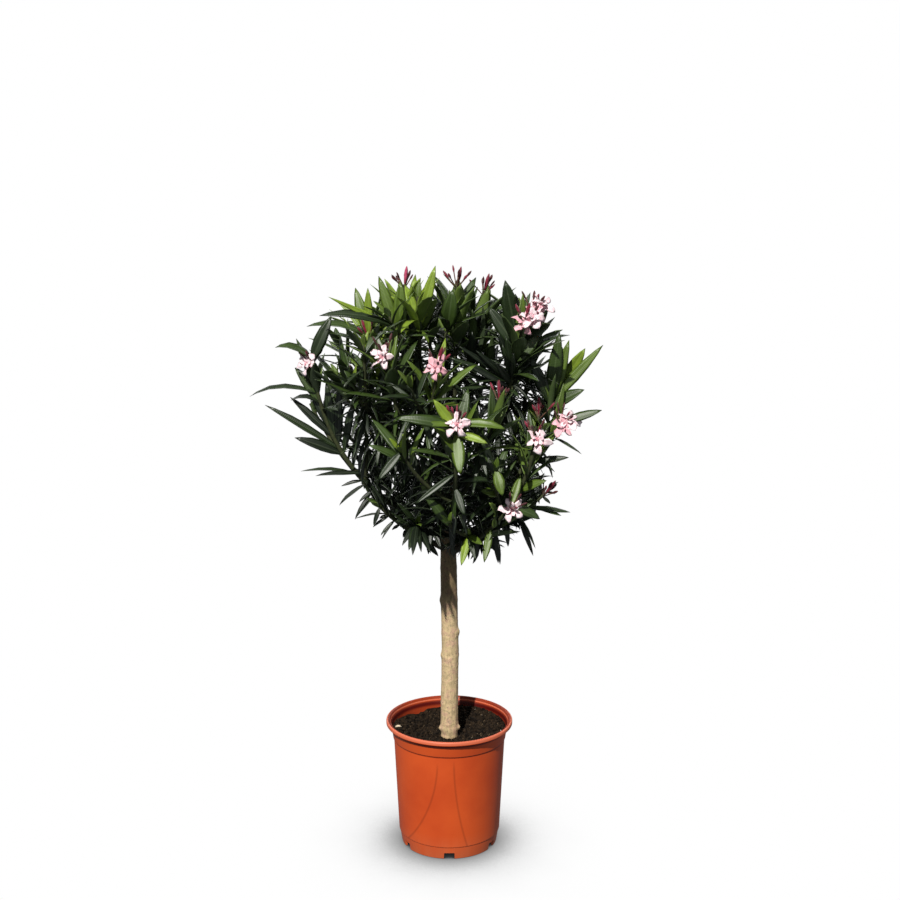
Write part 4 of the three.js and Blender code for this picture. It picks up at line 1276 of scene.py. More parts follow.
# %% Leading leaves
# Foot, tip, width, bend and tint. The last number turns the face from up (0) to the front (1).
LEADERS = [
    # left
    ((-250, -95, 950), (-302, -104, 966), 20, 1.8, "green", 0.4),
    ((-228, -70, 890), (-352, -78, 876), 16, 1.1, "deep", 0.35),
    ((-228, -60, 884), (-272, -68, 926), 16, 0.3, "deep", 0.6),
    ((-196, -75, 780), (-325, -84, 862), 16, 0.2, "deep", 0.5),
    ((-200, -75, 804), (-280, -84, 876), 16, 0.2, "dark", 0.6),
    ((-182, -90, 768), (-272, -98, 806), 22, 0.2, "dark", 0.6),
    ((-227, -80, 865), (-270, -88, 928), 14, 0.25, "green", 0.8),
    ((-229, -80, 866), (-279, -88, 870), 13, 1.9, "dark", 0.4),
    ((-217, -80, 823), (-245, -88, 893), 14, 0.3, "dark", 0.8),
    ((-214, -80, 816), (-215, -88, 900), 14, 0.2, "dark", 0.9),
    ((-191, -88, 800), (-216, -92, 905), 18, 0.25, "deep", 0.8),
    ((-182, -86, 792), (-193, -92, 900), 17, 0.25, "dark", 0.8),
    ((-172, -84, 784), (-166, -90, 878), 15, 0.3, "deep", 0.8),
    ((-162, -65, 734), (-266, -72, 740), 10, 0.6, "deep", 0.4),
    ((-158, -75, 732), (-238, -84, 734), 13, 0.4, "dark", 0.4),
    ((-152, -60, 706), (-198, -68, 676), 9, 0.8, "dark", 0.4),
    ((-138, -60, 702), (-170, -68, 650), 8, 0.7, "dark", 0.5),
    # top left
    ((-104, -125, 984), (-206, -132, 1056), 10, 0.3, "lime", 0.9),
    ((-104, -125, 982), (-222, -131, 1024), 22, 1.0, "deep", 0.5),
    ((-202, -40, 1012), (-252, -48, 996), 20, 1.2, "green", 0.4),
    ((-234, -90, 952), (-204, -98, 1020), 24, 0.5, "deep", 0.8),
    ((-112, -80, 984), (-122, -88, 1088), 22, 0.2, "fresh", 0.9),
    ((-98, -90, 974), (-84, -98, 1080), 26, 0.25, "fresh", 0.9),
    ((-158, -30, 1010), (-166, -38, 1064), 22, 0.2, "fresh", 0.9),
    ((-138, -60, 992), (-142, -68, 1066), 17, 0.25, "lime", 0.8),
    # top
    ((-44, -60, 1000), (-24, -74, 1105), 22, 0.15, "lime", 0.9),
    ((-60, -60, 974), (-68, -68, 1034), 26, 0.2, "deep", 0.9),
    ((44, -70, 972), (6, -78, 1064), 32, 0.6, "green", 0.8),
    ((94, -40, 976), (98, -48, 1078), 36, 0.15, "deep", 0.9),
    ((84, -60, 966), (68, -68, 1034), 28, 0.3, "deep", 0.9),
    ((102, -60, 934), (158, -68, 982), 26, 0.3, "green", 0.7),
    ((160, -10, 1012), (176, -18, 1056), 10, 0.2, "dark", 0.6),
    ((75, -60, 912), (134, -68, 928), 12, 0.4, "deep", 0.6),
    ((70, -60, 905), (134, -68, 906), 10, 0.5, "dark", 0.5),
    ((55, -60, 905), (4, -68, 936), 14, 0.5, "deep", 0.6),
    ((55, -60, 900), (10, -68, 902), 12, 0.6, "dark", 0.5),
    ((60, -60, 912), (40, -68, 990), 20, 0.3, "dark", 0.9),
    # dark fan below the top right
    ((66, -60, 896), (-3, -92, 948), 12, 0.4, "deep", 0.7),
    ((62, -60, 884), (-10, -90, 926), 10, 0.5, "dark", 0.6),
    ((70, -60, 904), (12, -94, 970), 12, 0.3, "dark", 0.8),
    ((70, -60, 904), (46, -94, 960), 13, 0.3, "dark", 0.9),
    ((74, -60, 910), (92, -92, 970), 13, 0.3, "deep", 0.8),
    ((72, -60, 906), (112, -90, 956), 12, 0.4, "dark", 0.7),
    ((62, -60, 884), (124, -88, 874), 9, 0.6, "deep", 0.5),
    ((58, -60, 876), (32, -94, 864), 8, 0.6, "dark", 0.5),
    ((60, -60, 880), (3, -92, 890), 10, 0.6, "deep", 0.5),
    ((58, -60, 876), (104, -90, 858), 9, 0.6, "dark", 0.6),
    ((64, -60, 890), (24, -98, 938), 12, 0.4, "dark", 0.8),
    ((66, -60, 896), (80, -98, 940), 14, 0.3, "dark", 0.9),
    ((76, -60, 914), (98, -96, 984), 14, 0.2, "deep", 0.9),
    ((80, -60, 922), (84, -100, 992), 16, 0.2, "dark", 0.9),
    ((60, -60, 880), (58, -96, 844), 9, 0.6, "dark", 0.7),
    ((62, -60, 884), (76, -96, 848), 9, 0.6, "deep", 0.7),
    # right fan
    ((202, -10, 858), (276, -18, 960), 20, 0.2, "fresh", 0.7),
    ((164, -30, 880), (196, -38, 986), 28, 0.15, "green", 0.9),
    ((176, -20, 878), (214, -28, 970), 24, 0.2, "fresh", 0.9),
    ((202, -10, 886), (244, -18, 954), 24, 0.2, "lime", 0.8),
    ((190, -30, 848), (242, -38, 882), 26, 0.3, "green", 0.6),
    ((242, -50, 814), (272, -58, 848), 18, 0.2, "green", 0.6),
    ((162, -30, 854), (144, -38, 942), 24, 0.25, "deep", 0.9),
    ((156, -80, 656), (216, -88, 668), 14, 0.3, "deep", 0.4),
    ((132, -60, 628), (152, -68, 582), 10, 0.6, "dark", 0.6),
    # centre rosette
    ((-14, -250, 848), (-90, -258, 868), 22, 0.9, "green", 0.6),
    ((-8, -240, 846), (-26, -248, 898), 20, 0.2, "lime", 0.8),
    ((12, -250, 838), (64, -258, 826), 16, 0.5, "lime", 0.6),
    ((16, -260, 832), (18, -268, 776), 24, 0.3, "fresh", 0.9),
    ((32, -240, 852), (94, -248, 848), 20, 0.9, "fresh", 0.5),
    ((-10, -255, 852), (-46, -264, 856), 14, 0.6, "fresh", 0.5),
    # low right rosette
    ((86, -170, 706), (54, -178, 728), 18, 0.4, "fresh", 0.6),
    ((102, -160, 708), (124, -142, 748), 16, 0.3, "fresh", 0.7),
    ((118, -150, 710), (168, -158, 742), 18, 0.4, "fresh", 0.6),
    ((122, -180, 698), (158, -152, 672), 20, 0.7, "green", 0.6),
    # drooping from the middle
    ((-80, -240, 806), (-118, -248, 762), 16, 0.4, "deep", 0.7),
    ((-20, -220, 760), (-58, -228, 716), 12, 0.4, "deep", 0.7),
    ((0, -200, 730), (26, -208, 692), 16, 0.4, "deep", 0.8),
    ((52, -190, 798), (78, -198, 762), 16, 0.4, "deep", 0.7),
    ((78, -210, 778), (90, -218, 728), 20, 0.5, "fresh", 0.7),
    # combs below the limbs
    ((-162, -62, 718), (-194, -70, 712), 8, 0.5, "dark", 0.5),
    ((-134, -60, 696), (-162, -68, 682), 8, 0.6, "dark", 0.5),
    ((-104, -62, 674), (-170, -70, 652), 5, 0.8, "dark", 0.5),
    ((-98, -62, 666), (-138, -70, 636), 7, 0.6, "dark", 0.5),
    ((-91, -62, 655), (-122, -70, 614), 5, 0.7, "dark", 0.5),
    ((-130, -60, 686), (-170, -68, 650), 6, 0.7, "deep", 0.5),
    ((-122, -70, 680), (-136, -78, 642), 9, 0.5, "dark", 0.7),
    ((-100, -60, 670), (-126, -68, 652), 7, 0.6, "dark", 0.5),
    ((-92, -60, 652), (-124, -68, 620), 6, 0.8, "deep", 0.5),
    ((-90, -50, 638), (-104, -58, 628), 7, 0.4, "dark", 0.5),
    ((-64, -50, 638), (-84, -58, 614), 9, 0.4, "dark", 0.6),
    ((-57, -118, 656), (-63, -192, 618), 14, 0.4, "dark", 0.7),
    ((-56, -112, 650), (-48, -196, 624), 10, 0.4, "dark", 0.7),
    ((-52, -106, 648), (-32, -186, 620), 14, 0.4, "dark", 0.6),
    ((-34, -82, 649), (-37, -122, 600), 15, 0.3, "dark", 0.7),
    ((-34, -82, 649), (-14, -118, 608), 12, 0.4, "dark", 0.6),
    ((-57, -118, 656), (-82, -160, 626), 12, 0.5, "dark", 0.5),
    ((-57, -118, 656), (-70, -176, 622), 15, 0.3, "deep", 0.7),
    ((-42, -40, 606), (-20, -48, 576), 12, 0.4, "dark", 0.7),
    ((88, -60, 622), (92, -68, 566), 8, 0.9, "dark", 0.5),
    ((74, -60, 622), (86, -68, 588), 13, 0.3, "dark", 0.7),
    ((130, -60, 634), (156, -68, 596), 6, 0.7, "deep", 0.5),
    ((118, -70, 620), (106, -78, 602), 10, 0.3, "dark", 0.7),
    ((164, -80, 726), (194, -88, 724), 6, 0.9, "dark", 0.4),
    ((162, -80, 714), (188, -88, 702), 6, 0.9, "deep", 0.4),
    ((158, -80, 708), (180, -88, 684), 7, 0.7, "dark", 0.5),
    ((188, -80, 750), (212, -88, 768), 15, 0.2, "deep", 0.6),
    ((194, -80, 780), (234, -88, 774), 8, 0.4, "deep", 0.4),
    ((164, -80, 658), (200, -88, 662), 11, 0.4, "green", 0.5),
    ((140, -60, 898), (168, -68, 932), 10, 0.4, "deep", 0.5),
    ((130, -60, 884), (146, -68, 862), 8, 0.8, "dark", 0.5),
    # lowest
    ((34, -114, 632), (21, -152, 588), 16, 0.3, "lime", 0.8),
    ((34, -114, 632), (58, -160, 628), 14, 0.4, "fresh", 0.7),
    ((34, -114, 632), (33, -150, 656), 12, 0.3, "fresh", 0.8),
    ((34, -114, 632), (46, -150, 597), 11, 0.4, "deep", 0.6),
    ((68, -128, 642), (61, -154, 594), 15, 0.3, "fresh", 0.7),
    ((88, -80, 622), (88, -88, 574), 12, 0.6, "dark", 0.6),
]
print("leading leaves", len(LEADERS))

# %% [markdown]
# Each leading leaf starts on the stem that passes nearest to its foot and ends at its own tip. Its
# arc follows from the two points and its bend.

# %% Grow the leading leaves
FRONT = np.array([0.0, -1.0, 0.0])
stem_points = np.concatenate([s["line"].points for s in stems])
stem_numbers = np.repeat(np.arange(len(stems)), [len(s["line"].points) for s in stems])
stem_shares = np.concatenate([s["line"].along / s["line"].length for s in stems])


def leader(foot, tip, width, bend, tint, turn, random):
    """A leaf from the nearest stem to its tip, bent by an angle on the way."""
    nearest = np.argmin(np.linalg.norm(stem_points - np.array(foot), axis=1))
    root = stem_points[nearest]
    chord = np.array(tip) - root
    straight = np.linalg.norm(chord)
    chord = chord / straight
    face = square_to(UP * (1 - turn) + FRONT * turn, chord)
    way = chord * math.cos(bend / 2) + face * math.sin(bend / 2)
    return {"root": root, "way": way, "face": square_to(face, way), "width": width, "bend": bend,
            "length": straight * bend / (2 * math.sin(bend / 2)), "fold": mix(0.12, 0.4, random()),
            "twist": (random() - 0.5) * 0.3, "thickness": straight * LEAF_THICKNESS, "ripple": 0.5,
            "phase": random() * 6, "tint": TINTS.index(tint), "stem": stem_numbers[nearest],
            "share": stem_shares[nearest]}


random = seeded(5)
leaders = [leader(*row, random) for row in LEADERS]
print("longest leading leaf", round(max(leaf["length"] for leaf in leaders)), "mm")

# %% [markdown]
# ## Where the blossom stands
# Garden oleanders are often semi-double: a wheel of five petals, a smaller and steeper wheel inside
# it, and a fringe at the mouth of the tube. No two petals are alike, so length, width, bend and
# fold are drawn for each.

# %% One flower
FLOWER = {
    "petals": 5, "length": 25, "width": 16.5, "cup": 66, "inner": 0.62, "inner_cup": 38,
    "askew": 0.12, "tilt": 0.28, "thickness": 0.6, "ripple": 2.2,
}
FRINGE = {"count": 5, "length": 8.5, "width": 4.5, "spread": 0.35, "thickness": 0.5}


def open_flower(centre, facing, random):
    """Petal and fringe blades of one flower: a wheel of petals and a smaller, steeper one inside it."""
    level = square_to(np.array([0.0, 0.0, 1.0]) + 0.01, facing)
    start = random() * 1.2
    blades = []
    for index in range(2 * FLOWER["petals"]):
        inner = index >= FLOWER["petals"]
        size = FLOWER["inner"] if inner else 1.0
        radial = turned(level, facing, start + 0.6 * inner + math.tau * index / FLOWER["petals"])
        cup = math.radians(FLOWER["inner_cup" if inner else "cup"] + 24 * (random() - 0.5))
        way = unit(facing * math.cos(cup) + radial * math.sin(cup))
        way = turned(way, facing, FLOWER["askew"])
        face = turned(square_to(facing, way), way, FLOWER["tilt"])
        blades.append({"root": centre + facing * 1.5 * inner, "way": way, "face": face,
                       "length": FLOWER["length"] * size * (0.85 + 0.3 * random()),
                       "width": FLOWER["width"] * size * (0.8 + 0.4 * random()),
                       "bend": 0.2 + 0.9 * random(), "fold": 0.15 + 0.45 * random(),
                       "twist": 0.1 + 0.8 * random(), "thickness": FLOWER["thickness"],
                       "ripple": FLOWER["ripple"], "phase": random() * 6})
    fringe = []
    for index in range(FRINGE["count"]):
        radial = turned(level, facing, start + 0.6 + math.tau * index / FRINGE["count"])
        way = unit(facing + radial * FRINGE["spread"])
        fringe.append({"root": centre, "way": way, "face": square_to(radial, way), "bend": 0.5,
                       "length": FRINGE["length"], "width": FRINGE["width"], "fold": 0.1, "twist": 0.6,
                       "thickness": FRINGE["thickness"], "ripple": 0.4, "phase": 0.0})
    return blades, fringe


print("blades in a flower", 2 * FLOWER["petals"] + FRINGE["count"])

# %% [markdown]
# What each shoot bears is stated by the limbs' table: open flowers or closed buds. An open tip has
# one flower that looks outwards and to the light, and a few small dark buds round it. A budding tip
# has one long furled bud and smaller ones. Three tips bear two flowers, and one budding tip has
# opened its first.

# %% Blossom rule
ROSY_TIPS = [("top_right", 0), ("top_right", 1), ("top_front", 1), ("right", 2)]
RICH_TIPS = {("top_right", 0): 2, ("top_right", 1): 2, ("top_front", 1): 1, ("right", 2): 2}
LIGHT_SIDE = np.array([-0.25, -0.9, 0.3])  # flowers turn to the light
LIGHT_DEPTH = 60  # but not those further back
CLUSTER = {"lift": 0.35, "stalk": 9, "flower_spread": 1.1}
BUD = {"long": (34, 7.5), "small": (14, 4.4), "small_count": 6, "spread": 36}


def outward_of(point):
    return unit(np.array([point[0], point[1], 0.0]))


def cluster(stem, random):
    """Petals, fringes, buds and stalks at one tip."""
    made = {"petals": [], "fringes": [], "buds": [], "stalks": [], "flowers": []}
    rosy = (stem["limb"], stem["number"]) in ROSY_TIPS
    tip, along = stem["line"].at(1), stem["line"].way(1)
    along = unit(along + UP * 0.5)
    outer = outward_of(tip)
    base = tip - along * 8
    open_count = RICH_TIPS.get((stem["limb"], stem["number"]), 1 if stem["bloom"] == "open" else 0)
    for index in range(open_count):
        place = (index - (open_count - 1) / 2) * CLUSTER["flower_spread"]
        aside = turned(outer, UP, place + 0.3 * (random() - 0.5))
        lift = CLUSTER["lift"] + 0.3 * random() * index
        facing = unit(aside * 0.6 + LIGHT_SIDE * (tip[1] < LIGHT_DEPTH) + UP * lift)
        centre = base + unit(aside + facing) * (CLUSTER["stalk"] + 9 * index) + UP * 5 * index * random()
        blades, fringe = open_flower(centre, facing, random)
        made["petals"] += [{**blade, "rosy": rosy and index % 2 == 0} for blade in blades]
        made["flowers"].append((centre, facing))
        made["fringes"] += fringe
        made["stalks"].append((base, centre, 0.9, 2.6))
    if stem["bloom"] == "bud":
        length, width = BUD["long"]
        way = unit(along + 0.2 * (turned(square_to(outer, along), along, random() * 6)))
        made["buds"].append((base + way * 8, way, length, width, 2 if stem["sun"] > 0.9 else 0))
        made["stalks"].append((base, base + way * 10, 1.0, 1.4))
    side = square_to(outer + 0.01, along)
    for index in range(BUD["small_count"]):
        radial = turned(side, along, index * GOLDEN_ANGLE + random())
        spread = math.radians(BUD["spread"] * (0.5 + random()))
        way = unit(along * math.cos(spread) + radial * math.sin(spread) + UP * 0.2)
        length, width = (value * (0.8 + 0.5 * random()) for value in BUD["small"])
        foot = base + way * (14 + 16 * random())
        made["buds"].append((foot, way, length, width, 1 if random() < 0.7 else 0))
        made["stalks"].append((base, foot + way, 0.8, 1.1))
    return made


random = seeded(311)
clusters = [cluster(s, random) for s in stems if s["bloom"] != "leaf"]
print("clusters", len(clusters), "flowers", sum(len(c["flowers"]) for c in clusters))

# %% [markdown]
# The three plans meet here. A leaf of the rule gives way where it would crowd a leading leaf or
# stand in front of an open flower, and a leading leaf only where it would cover the flower itself.
# Each twig then ends where its last leaf stands, because a bare end would be dead wood.

# %% Room for leading leaves and flowers
LEADER_ROOM = 17
FLOWER_ROOM = {"beside": 21, "before": 95}
leader_spots = np.array([spot_on(leaf, share) for leaf in leaders for share in (0.55, 0.7, 0.85, 1.0)])
open_flowers = [(centre, facing) for c in clusters for centre, facing in c["flowers"]]


def gives_way(spray, leading):
    """Whether a leaf crowds a leading one or hides a flower."""
    spots = np.array([spot_on(spray, share) for share in (0.25, 0.5, 0.75, 1.0)])
    room = FLOWER_ROOM["beside"] * (0.5 if leading else 1)
    gaps = np.linalg.norm(spots[2:, None] - leader_spots[None], axis=2)
    if not leading and gaps.min() < LEADER_ROOM:
        return True
    for centre, facing in open_flowers:
        before = (spots - centre) @ facing
        beside = np.linalg.norm(spots - centre - before[:, None] * facing, axis=1)
        hides = (beside < room) & (before > -4) & (before < FLOWER_ROOM["before"])
        if hides[int(leading):].any():
            return True
    return False


sprays = [spray for spray in rule_leaves if not gives_way(spray, leading=False)]
sprays += [spray for spray in leaders if not gives_way(spray, leading=True)]
for stem in stems:
    stem["end"] = 1.0 if stem["bloom"] != "leaf" else stem["foot"]
for spray in sprays:
    stem = stems[spray["stem"]]
    stem["end"] = max(stem["end"], min(1.0, spray["share"] + 0.02))
print("leaves", len(sprays), "of", len(rule_leaves) + len(leaders))

# %% [markdown]
# Boughs and twigs are tubes. A ring of points is swept along each line, and the bark's knots and
# leaf scars swell it slightly. All tubes of a kind become one mesh.

# %% Sweep the tubes
def tube(line, start, end, radii, sides, rings, knots, seed):
    """A closed, slightly knotty tube along part of a line: its points and faces."""
    shares = np.linspace(start, end, rings)
    angles = np.arange(sides) * math.tau / sides
    points = []
    for index, share in enumerate(shares):
        along = line.way(share)
        across = square_to(np.array([1.0, 0.02, 0]), along)
        over = np.cross(along, across)
        radius = mix(*radii, index / (rings - 1))
        swell = knots * (index % 3 == 1)
        for angle in angles:
            spot = np.cos(angle) * across + np.sin(angle) * over
            bumpy = noise.noise(Vector(spot * 2 + share * 9 + seed)) * knots
            points.append(line.at(share) + spot * (radius + swell + bumpy))
    faces = []
    for ring in range(rings - 1):
        for side in range(sides):
            after = (side + 1) % sides
            here, there = ring * sides, (ring + 1) * sides
            faces.append((here + side, here + after, there + after, there + side))
    faces.append(tuple(reversed(range(sides))))
    faces.append(tuple(range((rings - 1) * sides, rings * sides)))
    return points, faces


def tubes_piece(name, tubes):
    """One smooth piece from many tubes."""
    verts, faces = [], []
    for points, rings in tubes:
        faces += [tuple(i + len(verts) for i in face) for face in rings]
        verts += [tuple(p * MM) for p in points]
    mesh = bpy.data.meshes.new(name)
    mesh.from_pydata(verts, [], faces)
    mesh.shade_smooth()
    return new_piece(name, mesh=mesh)


print("lines for tubes", len(LIMBS) + len(stems))

# %% [markdown]
# A bough starts inside the stem, so no gap shows at the fork, and ends a little way into the leaves where its
# main shoot takes over. Their bark is the stem's with other colours: dark on the boughs and still green on
# the twigs, and both painted far darker than the stem as shade inside the head.

# %% Boughs and twigs
BOUGH = {"radii": (7.6, 5.2), "sides": 14, "rings": 16, "knots": 0.5, "sunk": 0.55, "overlap": 0.03}
TWIG_TUBE = {"sides": 7, "ring_spacing": 12, "least_rings": 5, "knots": 0.22, "least_share": 0.05}

bough_tubes = []
for index, name in enumerate(LIMBS):
    line = shoots[name][0]["line"]
    inside = (trunk_radius(LIMBS[name][1]) * BOUGH["sunk"]) / line.length
    end = BOUGH_SHARE + BOUGH["overlap"]
    shape = (BOUGH["radii"], BOUGH["sides"], BOUGH["rings"], BOUGH["knots"])
    bough_tubes.append(tube(line, inside, end, *shape, index))
boughs = tubes_piece("bough_bark", bough_tubes)
twig_tubes = []
for index, stem in enumerate(stems):
    if stem["end"] > stem["foot"] + TWIG_TUBE["least_share"]:
        length = stem["line"].length * stem["end"]
        rings = max(TWIG_TUBE["least_rings"], int(length / TWIG_TUBE["ring_spacing"]))
        shape = (stem["radii"], TWIG_TUBE["sides"], rings, TWIG_TUBE["knots"])
        twig_tubes.append(tube(stem["line"], stem["foot"], stem["end"], *shape, index))
twigs = tubes_piece("twig_bark", twig_tubes)
print("bough faces", len(boughs.data.polygons), "twig faces", len(twigs.data.polygons))

# Both colours are painted far darker than the stem's, as the head's shade; the twigs' green is their own.
shaded_bough_woods = (0.035, 0.029, 0.016), (0.032, 0.024, 0.014), (0.02, 0.017, 0.012)
shaded_twig_woods = (0.034, 0.042, 0.014), (0.03, 0.032, 0.013), (0.02, 0.02, 0.011)
bough_bark = bark("bough_bark", *shaded_bough_woods, stain_and_shade=False)
twig_bark = bark("twig_bark", *shaded_twig_woods, stain_and_shade=False)
finish_piece(boughs, [bough_bark], "green_bark", *[f"bough_{name}" for name in LIMBS])
finish_piece(twigs, [twig_bark], "green_bark")

# %% [markdown]
# ## One leaf
# An oleander leaf is a long lance: leathery, deep green above with a pale rib, paler and greyer
# below. A small grid is laid out in a leaf's own measures, across it from -1 to 1 and along it from
# 0 to 1. Its columns stand close together at the rib. A copy is turned over and welded to it at the
# edge, which gives a closed shell of a few dozen faces with three slots: blade, rib and underside.

# %% Leaf template
COLUMNS = (-1.0, -0.52, -0.1, 0.1, 0.52, 1.0)
ROWS = (0.0, 0.09, 0.25, 0.46, 0.68, 0.88, 1.0)
BLADE, RIB, UNDERSIDE = 0, 1, 2


def blade_grid(columns, rows, slot_at, underside=None):
    """A thin closed shell: a grid and its copy below. A face's middle says its slot on the upper side."""
    bm = bmesh.new()
    bmesh.ops.create_grid(bm, x_segments=len(columns) - 1, y_segments=len(rows) - 1, size=1)
    for vert in bm.verts:
        column = round((vert.co.x + 1) / 2 * (len(columns) - 1))
        row = round((vert.co.y + 1) / 2 * (len(rows) - 1))
        vert.co = (columns[column], rows[row], 0.5)
    for face in bm.faces:
        face.material_index = slot_at(face.calc_center_median())
    copies = bmesh.ops.duplicate(bm, geom=bm.verts[:] + bm.edges[:] + bm.faces[:])["geom"]
    below = [g for g in copies if isinstance(g, bmesh.types.BMFace)]
    bmesh.ops.reverse_faces(bm, faces=below)
    for face in below:
        if underside is not None:
            face.material_index = underside
        for vert in face.verts:
            vert.co.z = -0.5
    for vert in bm.verts:
        if abs(vert.co.x) == 1 or vert.co.y in (0, 1):
            vert.co.z = 0
    bmesh.ops.remove_doubles(bm, verts=bm.verts, dist=0.001)
    return template(bm)


def leaf_slot(middle):
    return RIB if abs(middle.x) < 0.05 else BLADE


leaf = blade_grid(COLUMNS, ROWS, leaf_slot, UNDERSIDE)
print("leaf faces", len(leaf["faces"]), "points", len(leaf["verts"]))

# %% [markdown]
# Each leaf is then bent: its middle line follows an arc from the way it leaves the twig towards
# the way it hangs, it is folded a little along the rib, and twisted. All leaves are worked out at
# once, as arrays with one row for each leaf and one column for each point of the grid.

# %% Bending leaves
def lance(s):
    """Half-width of a leaf along its length, 1 at the widest."""
    return np.clip(np.sin(np.pi * s**0.9), 0, 1) ** 0.8 * 0.97 + 0.03 + 0.06 * (s < 0.05)


def stamp(shape, outline, sprays):
    """Points of every blade, from the plans of the leaves or petals."""
    u, s, h = shape["verts"].T

    def column(key):
        return np.array([spray[key] for spray in sprays])[:, None]

    def rows(key):
        return np.array([spray[key] for spray in sprays])[:, None, :]

    root, way, face = rows("root"), rows("way"), rows("face")
    side = np.cross(face, way)
    bend = np.where(np.abs(column("bend")) < 1e-3, 1e-3, column("bend"))
    theta = bend * s
    out = (np.sin(theta) / bend * column("length"))[..., None]
    down = ((1 - np.cos(theta)) / bend * column("length"))[..., None]
    middle = root + way * out - face * down
    cos, sin = np.cos(theta)[..., None], np.sin(theta)[..., None]
    normal = face * cos + way * sin
    twist = (column("twist") * s)[..., None]
    across = side * np.cos(twist) + normal * np.sin(twist)
    lifted = normal * np.cos(twist) - side * np.sin(twist)
    half = column("width") / 2 * outline(s) * u
    fold = column("fold")
    ripple = column("ripple") * np.sin(s * 9 + column("phase")) * np.abs(u)
    rise = np.abs(half) * np.sin(fold) + h * column("thickness") + ripple
    return middle + across * (half * np.cos(fold))[..., None] + lifted * rise[..., None]


# %% [markdown]
# A leaf's upper face is leathery and a little glossy, with veins as a fine bump along its own UV
# map. The rib is paler and the underside paler still and duller.

# %% Leaf materials
RIB_PALE = 0.1
UNDERSIDE_PALE = 0.14
PALE_GREEN = (0.22, 0.27, 0.16)


def leaf_material(name, colour, deeper, rough, gloss=0.5):
    material, shader, add, link = new_material(name)
    place = add("TexCoord").outputs["Object"]
    cloud = add("TexNoise", [("Vector", place)], Scale=60.0, Detail=3.0)
    link(ramp(add, cloud.outputs["Fac"], (0.35, deeper), (0.65, colour)), shader.inputs["Base Color"])
    shader.inputs["Roughness"].default_value = rough
    shader.inputs["Specular IOR Level"].default_value = gloss
    along = add("UVMap", uv_map="along").outputs["UV"]
    veins = add("TexWave", [("Vector", along)], Scale=14.0, Distortion=1.2, bands_direction="Y")
    veins.inputs["Detail"].default_value = 1.0
    link(bump(add, veins.outputs["Fac"], 0.25, 0.0004), shader.inputs["Normal"])
    return material


# The five greens run from the young tips' lime to nearly black. The lightest go to sunny leaves and the
# darkest to leaves deep in the head, so they are partly the leaves' own age and partly painted light and
# shade.
LEAF_COLOURS = {
    "lime": (0.19, 0.28, 0.025),
    "fresh": (0.085, 0.14, 0.014),
    "green": (0.032, 0.060, 0.009),
    "deep": (0.014, 0.027, 0.007),
    "dark": (0.007, 0.013, 0.005),
}


def scaled(colour, factor):
    return tuple(c * factor for c in colour)


def paler(colour, share):
    return tuple(mix(c, g, share) for c, g in zip(colour, PALE_GREEN))


print("greens", len(LEAF_COLOURS))

# %% [markdown]
# The leaves are split by tint into pieces, so that none is too heavy to export. Each piece carries
# its own blade, rib and underside material. Together they stand for the part's sixteen leaf masses.

# %% Make the leaves
leaf_uvs = np.stack([leaf["verts"][:, 0] / 2 + 0.5, leaf["verts"][:, 1]], axis=1)
for tint, name in enumerate(TINTS):
    own = [spray for spray in sprays if spray["tint"] == tint]
    if not own:
        continue
    mesh = joined_mesh(f"leaves_{name}", stamp(leaf, lance, own), leaf["faces"], leaf["slots"], leaf_uvs)
    piece = new_piece(f"leaves_{name}", mesh=mesh)
    colour = LEAF_COLOURS[name]
    blade = leaf_material(f"blade_{name}", colour, scaled(colour, 0.7), 0.42)
    rib_colours = paler(colour, RIB_PALE), paler(colour, RIB_PALE / 2)
    rib = leaf_material(f"rib_{name}", *rib_colours, 0.45)
    under_colours = paler(colour, UNDERSIDE_PALE), paler(colour, UNDERSIDE_PALE / 2)
    underside = leaf_material(f"underside_{name}", *under_colours, 0.55, 0.4)
    finish_piece(piece, [blade, rib, underside], "leaves")
    print(piece.name, len(own), "triangles", len(piece.data.polygons) * 2)
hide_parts(*[f"mass_{name}" for name in LIMBS])

# %% [markdown]
# ## Blossom
# A petal is made as the leaf was, from a small closed grid in its own measures. It is deep pink at
# its foot, which lines the flower's mouth, pink in the middle and nearly white at its end.

# %% Petal template
PETAL_COLUMNS = (-1.0, -0.45, 0.45, 1.0)
PETAL_ROWS = (0.0, 0.2, 0.42, 0.66, 0.86, 1.0)
PETAL_HALF_WIDTHS = (0.22, 0.38, 0.74, 1.0, 0.66, 0.06)
THROAT, PINK, PALE = 0, 1, 2


def petal_slot(middle):
    return THROAT if middle.y < PETAL_ROWS[1] else PINK if middle.y < PETAL_ROWS[2] else PALE


def petal_outline(s):
    """Half-width of a petal: a narrow claw, widest beyond the middle, and a blunt point."""
    return np.interp(s, PETAL_ROWS, PETAL_HALF_WIDTHS)


petal = blade_grid(PETAL_COLUMNS, PETAL_ROWS, petal_slot)
print("petal faces", len(petal["faces"]))

# %% [markdown]
# A bud is a furled spindle. Its outline is spun in six steps, then stretched to each bud's length,
# wound a little and turned to the way it points.

# %% Bud template
BUD_OUTLINE = [(0, 0), (0.5, 0.06), (0.7, 0.2), (1.0, 0.5), (0.8, 0.75), (0.4, 0.92), (0, 1)]
BUD_SIDES = 6
BUD_SPIRAL = 1.2  # how far a bud is wound up, in radians


def furled(shape, foot, way, length, width):
    """One bud's points, wound round its own axis and turned to the way it points."""
    across = square_to(np.array([1.0, 0.3, 0.1]), way)
    over = np.cross(way, across)
    x, y, z = shape["verts"].T
    spiral = z * BUD_SPIRAL
    wound_x = x * np.cos(spiral) - y * np.sin(spiral)
    wound_y = x * np.sin(spiral) + y * np.cos(spiral)
    return (foot + (wound_x * width / 2)[:, None] * across + (wound_y * width / 2)[:, None] * over
            + (z * length)[:, None] * way)


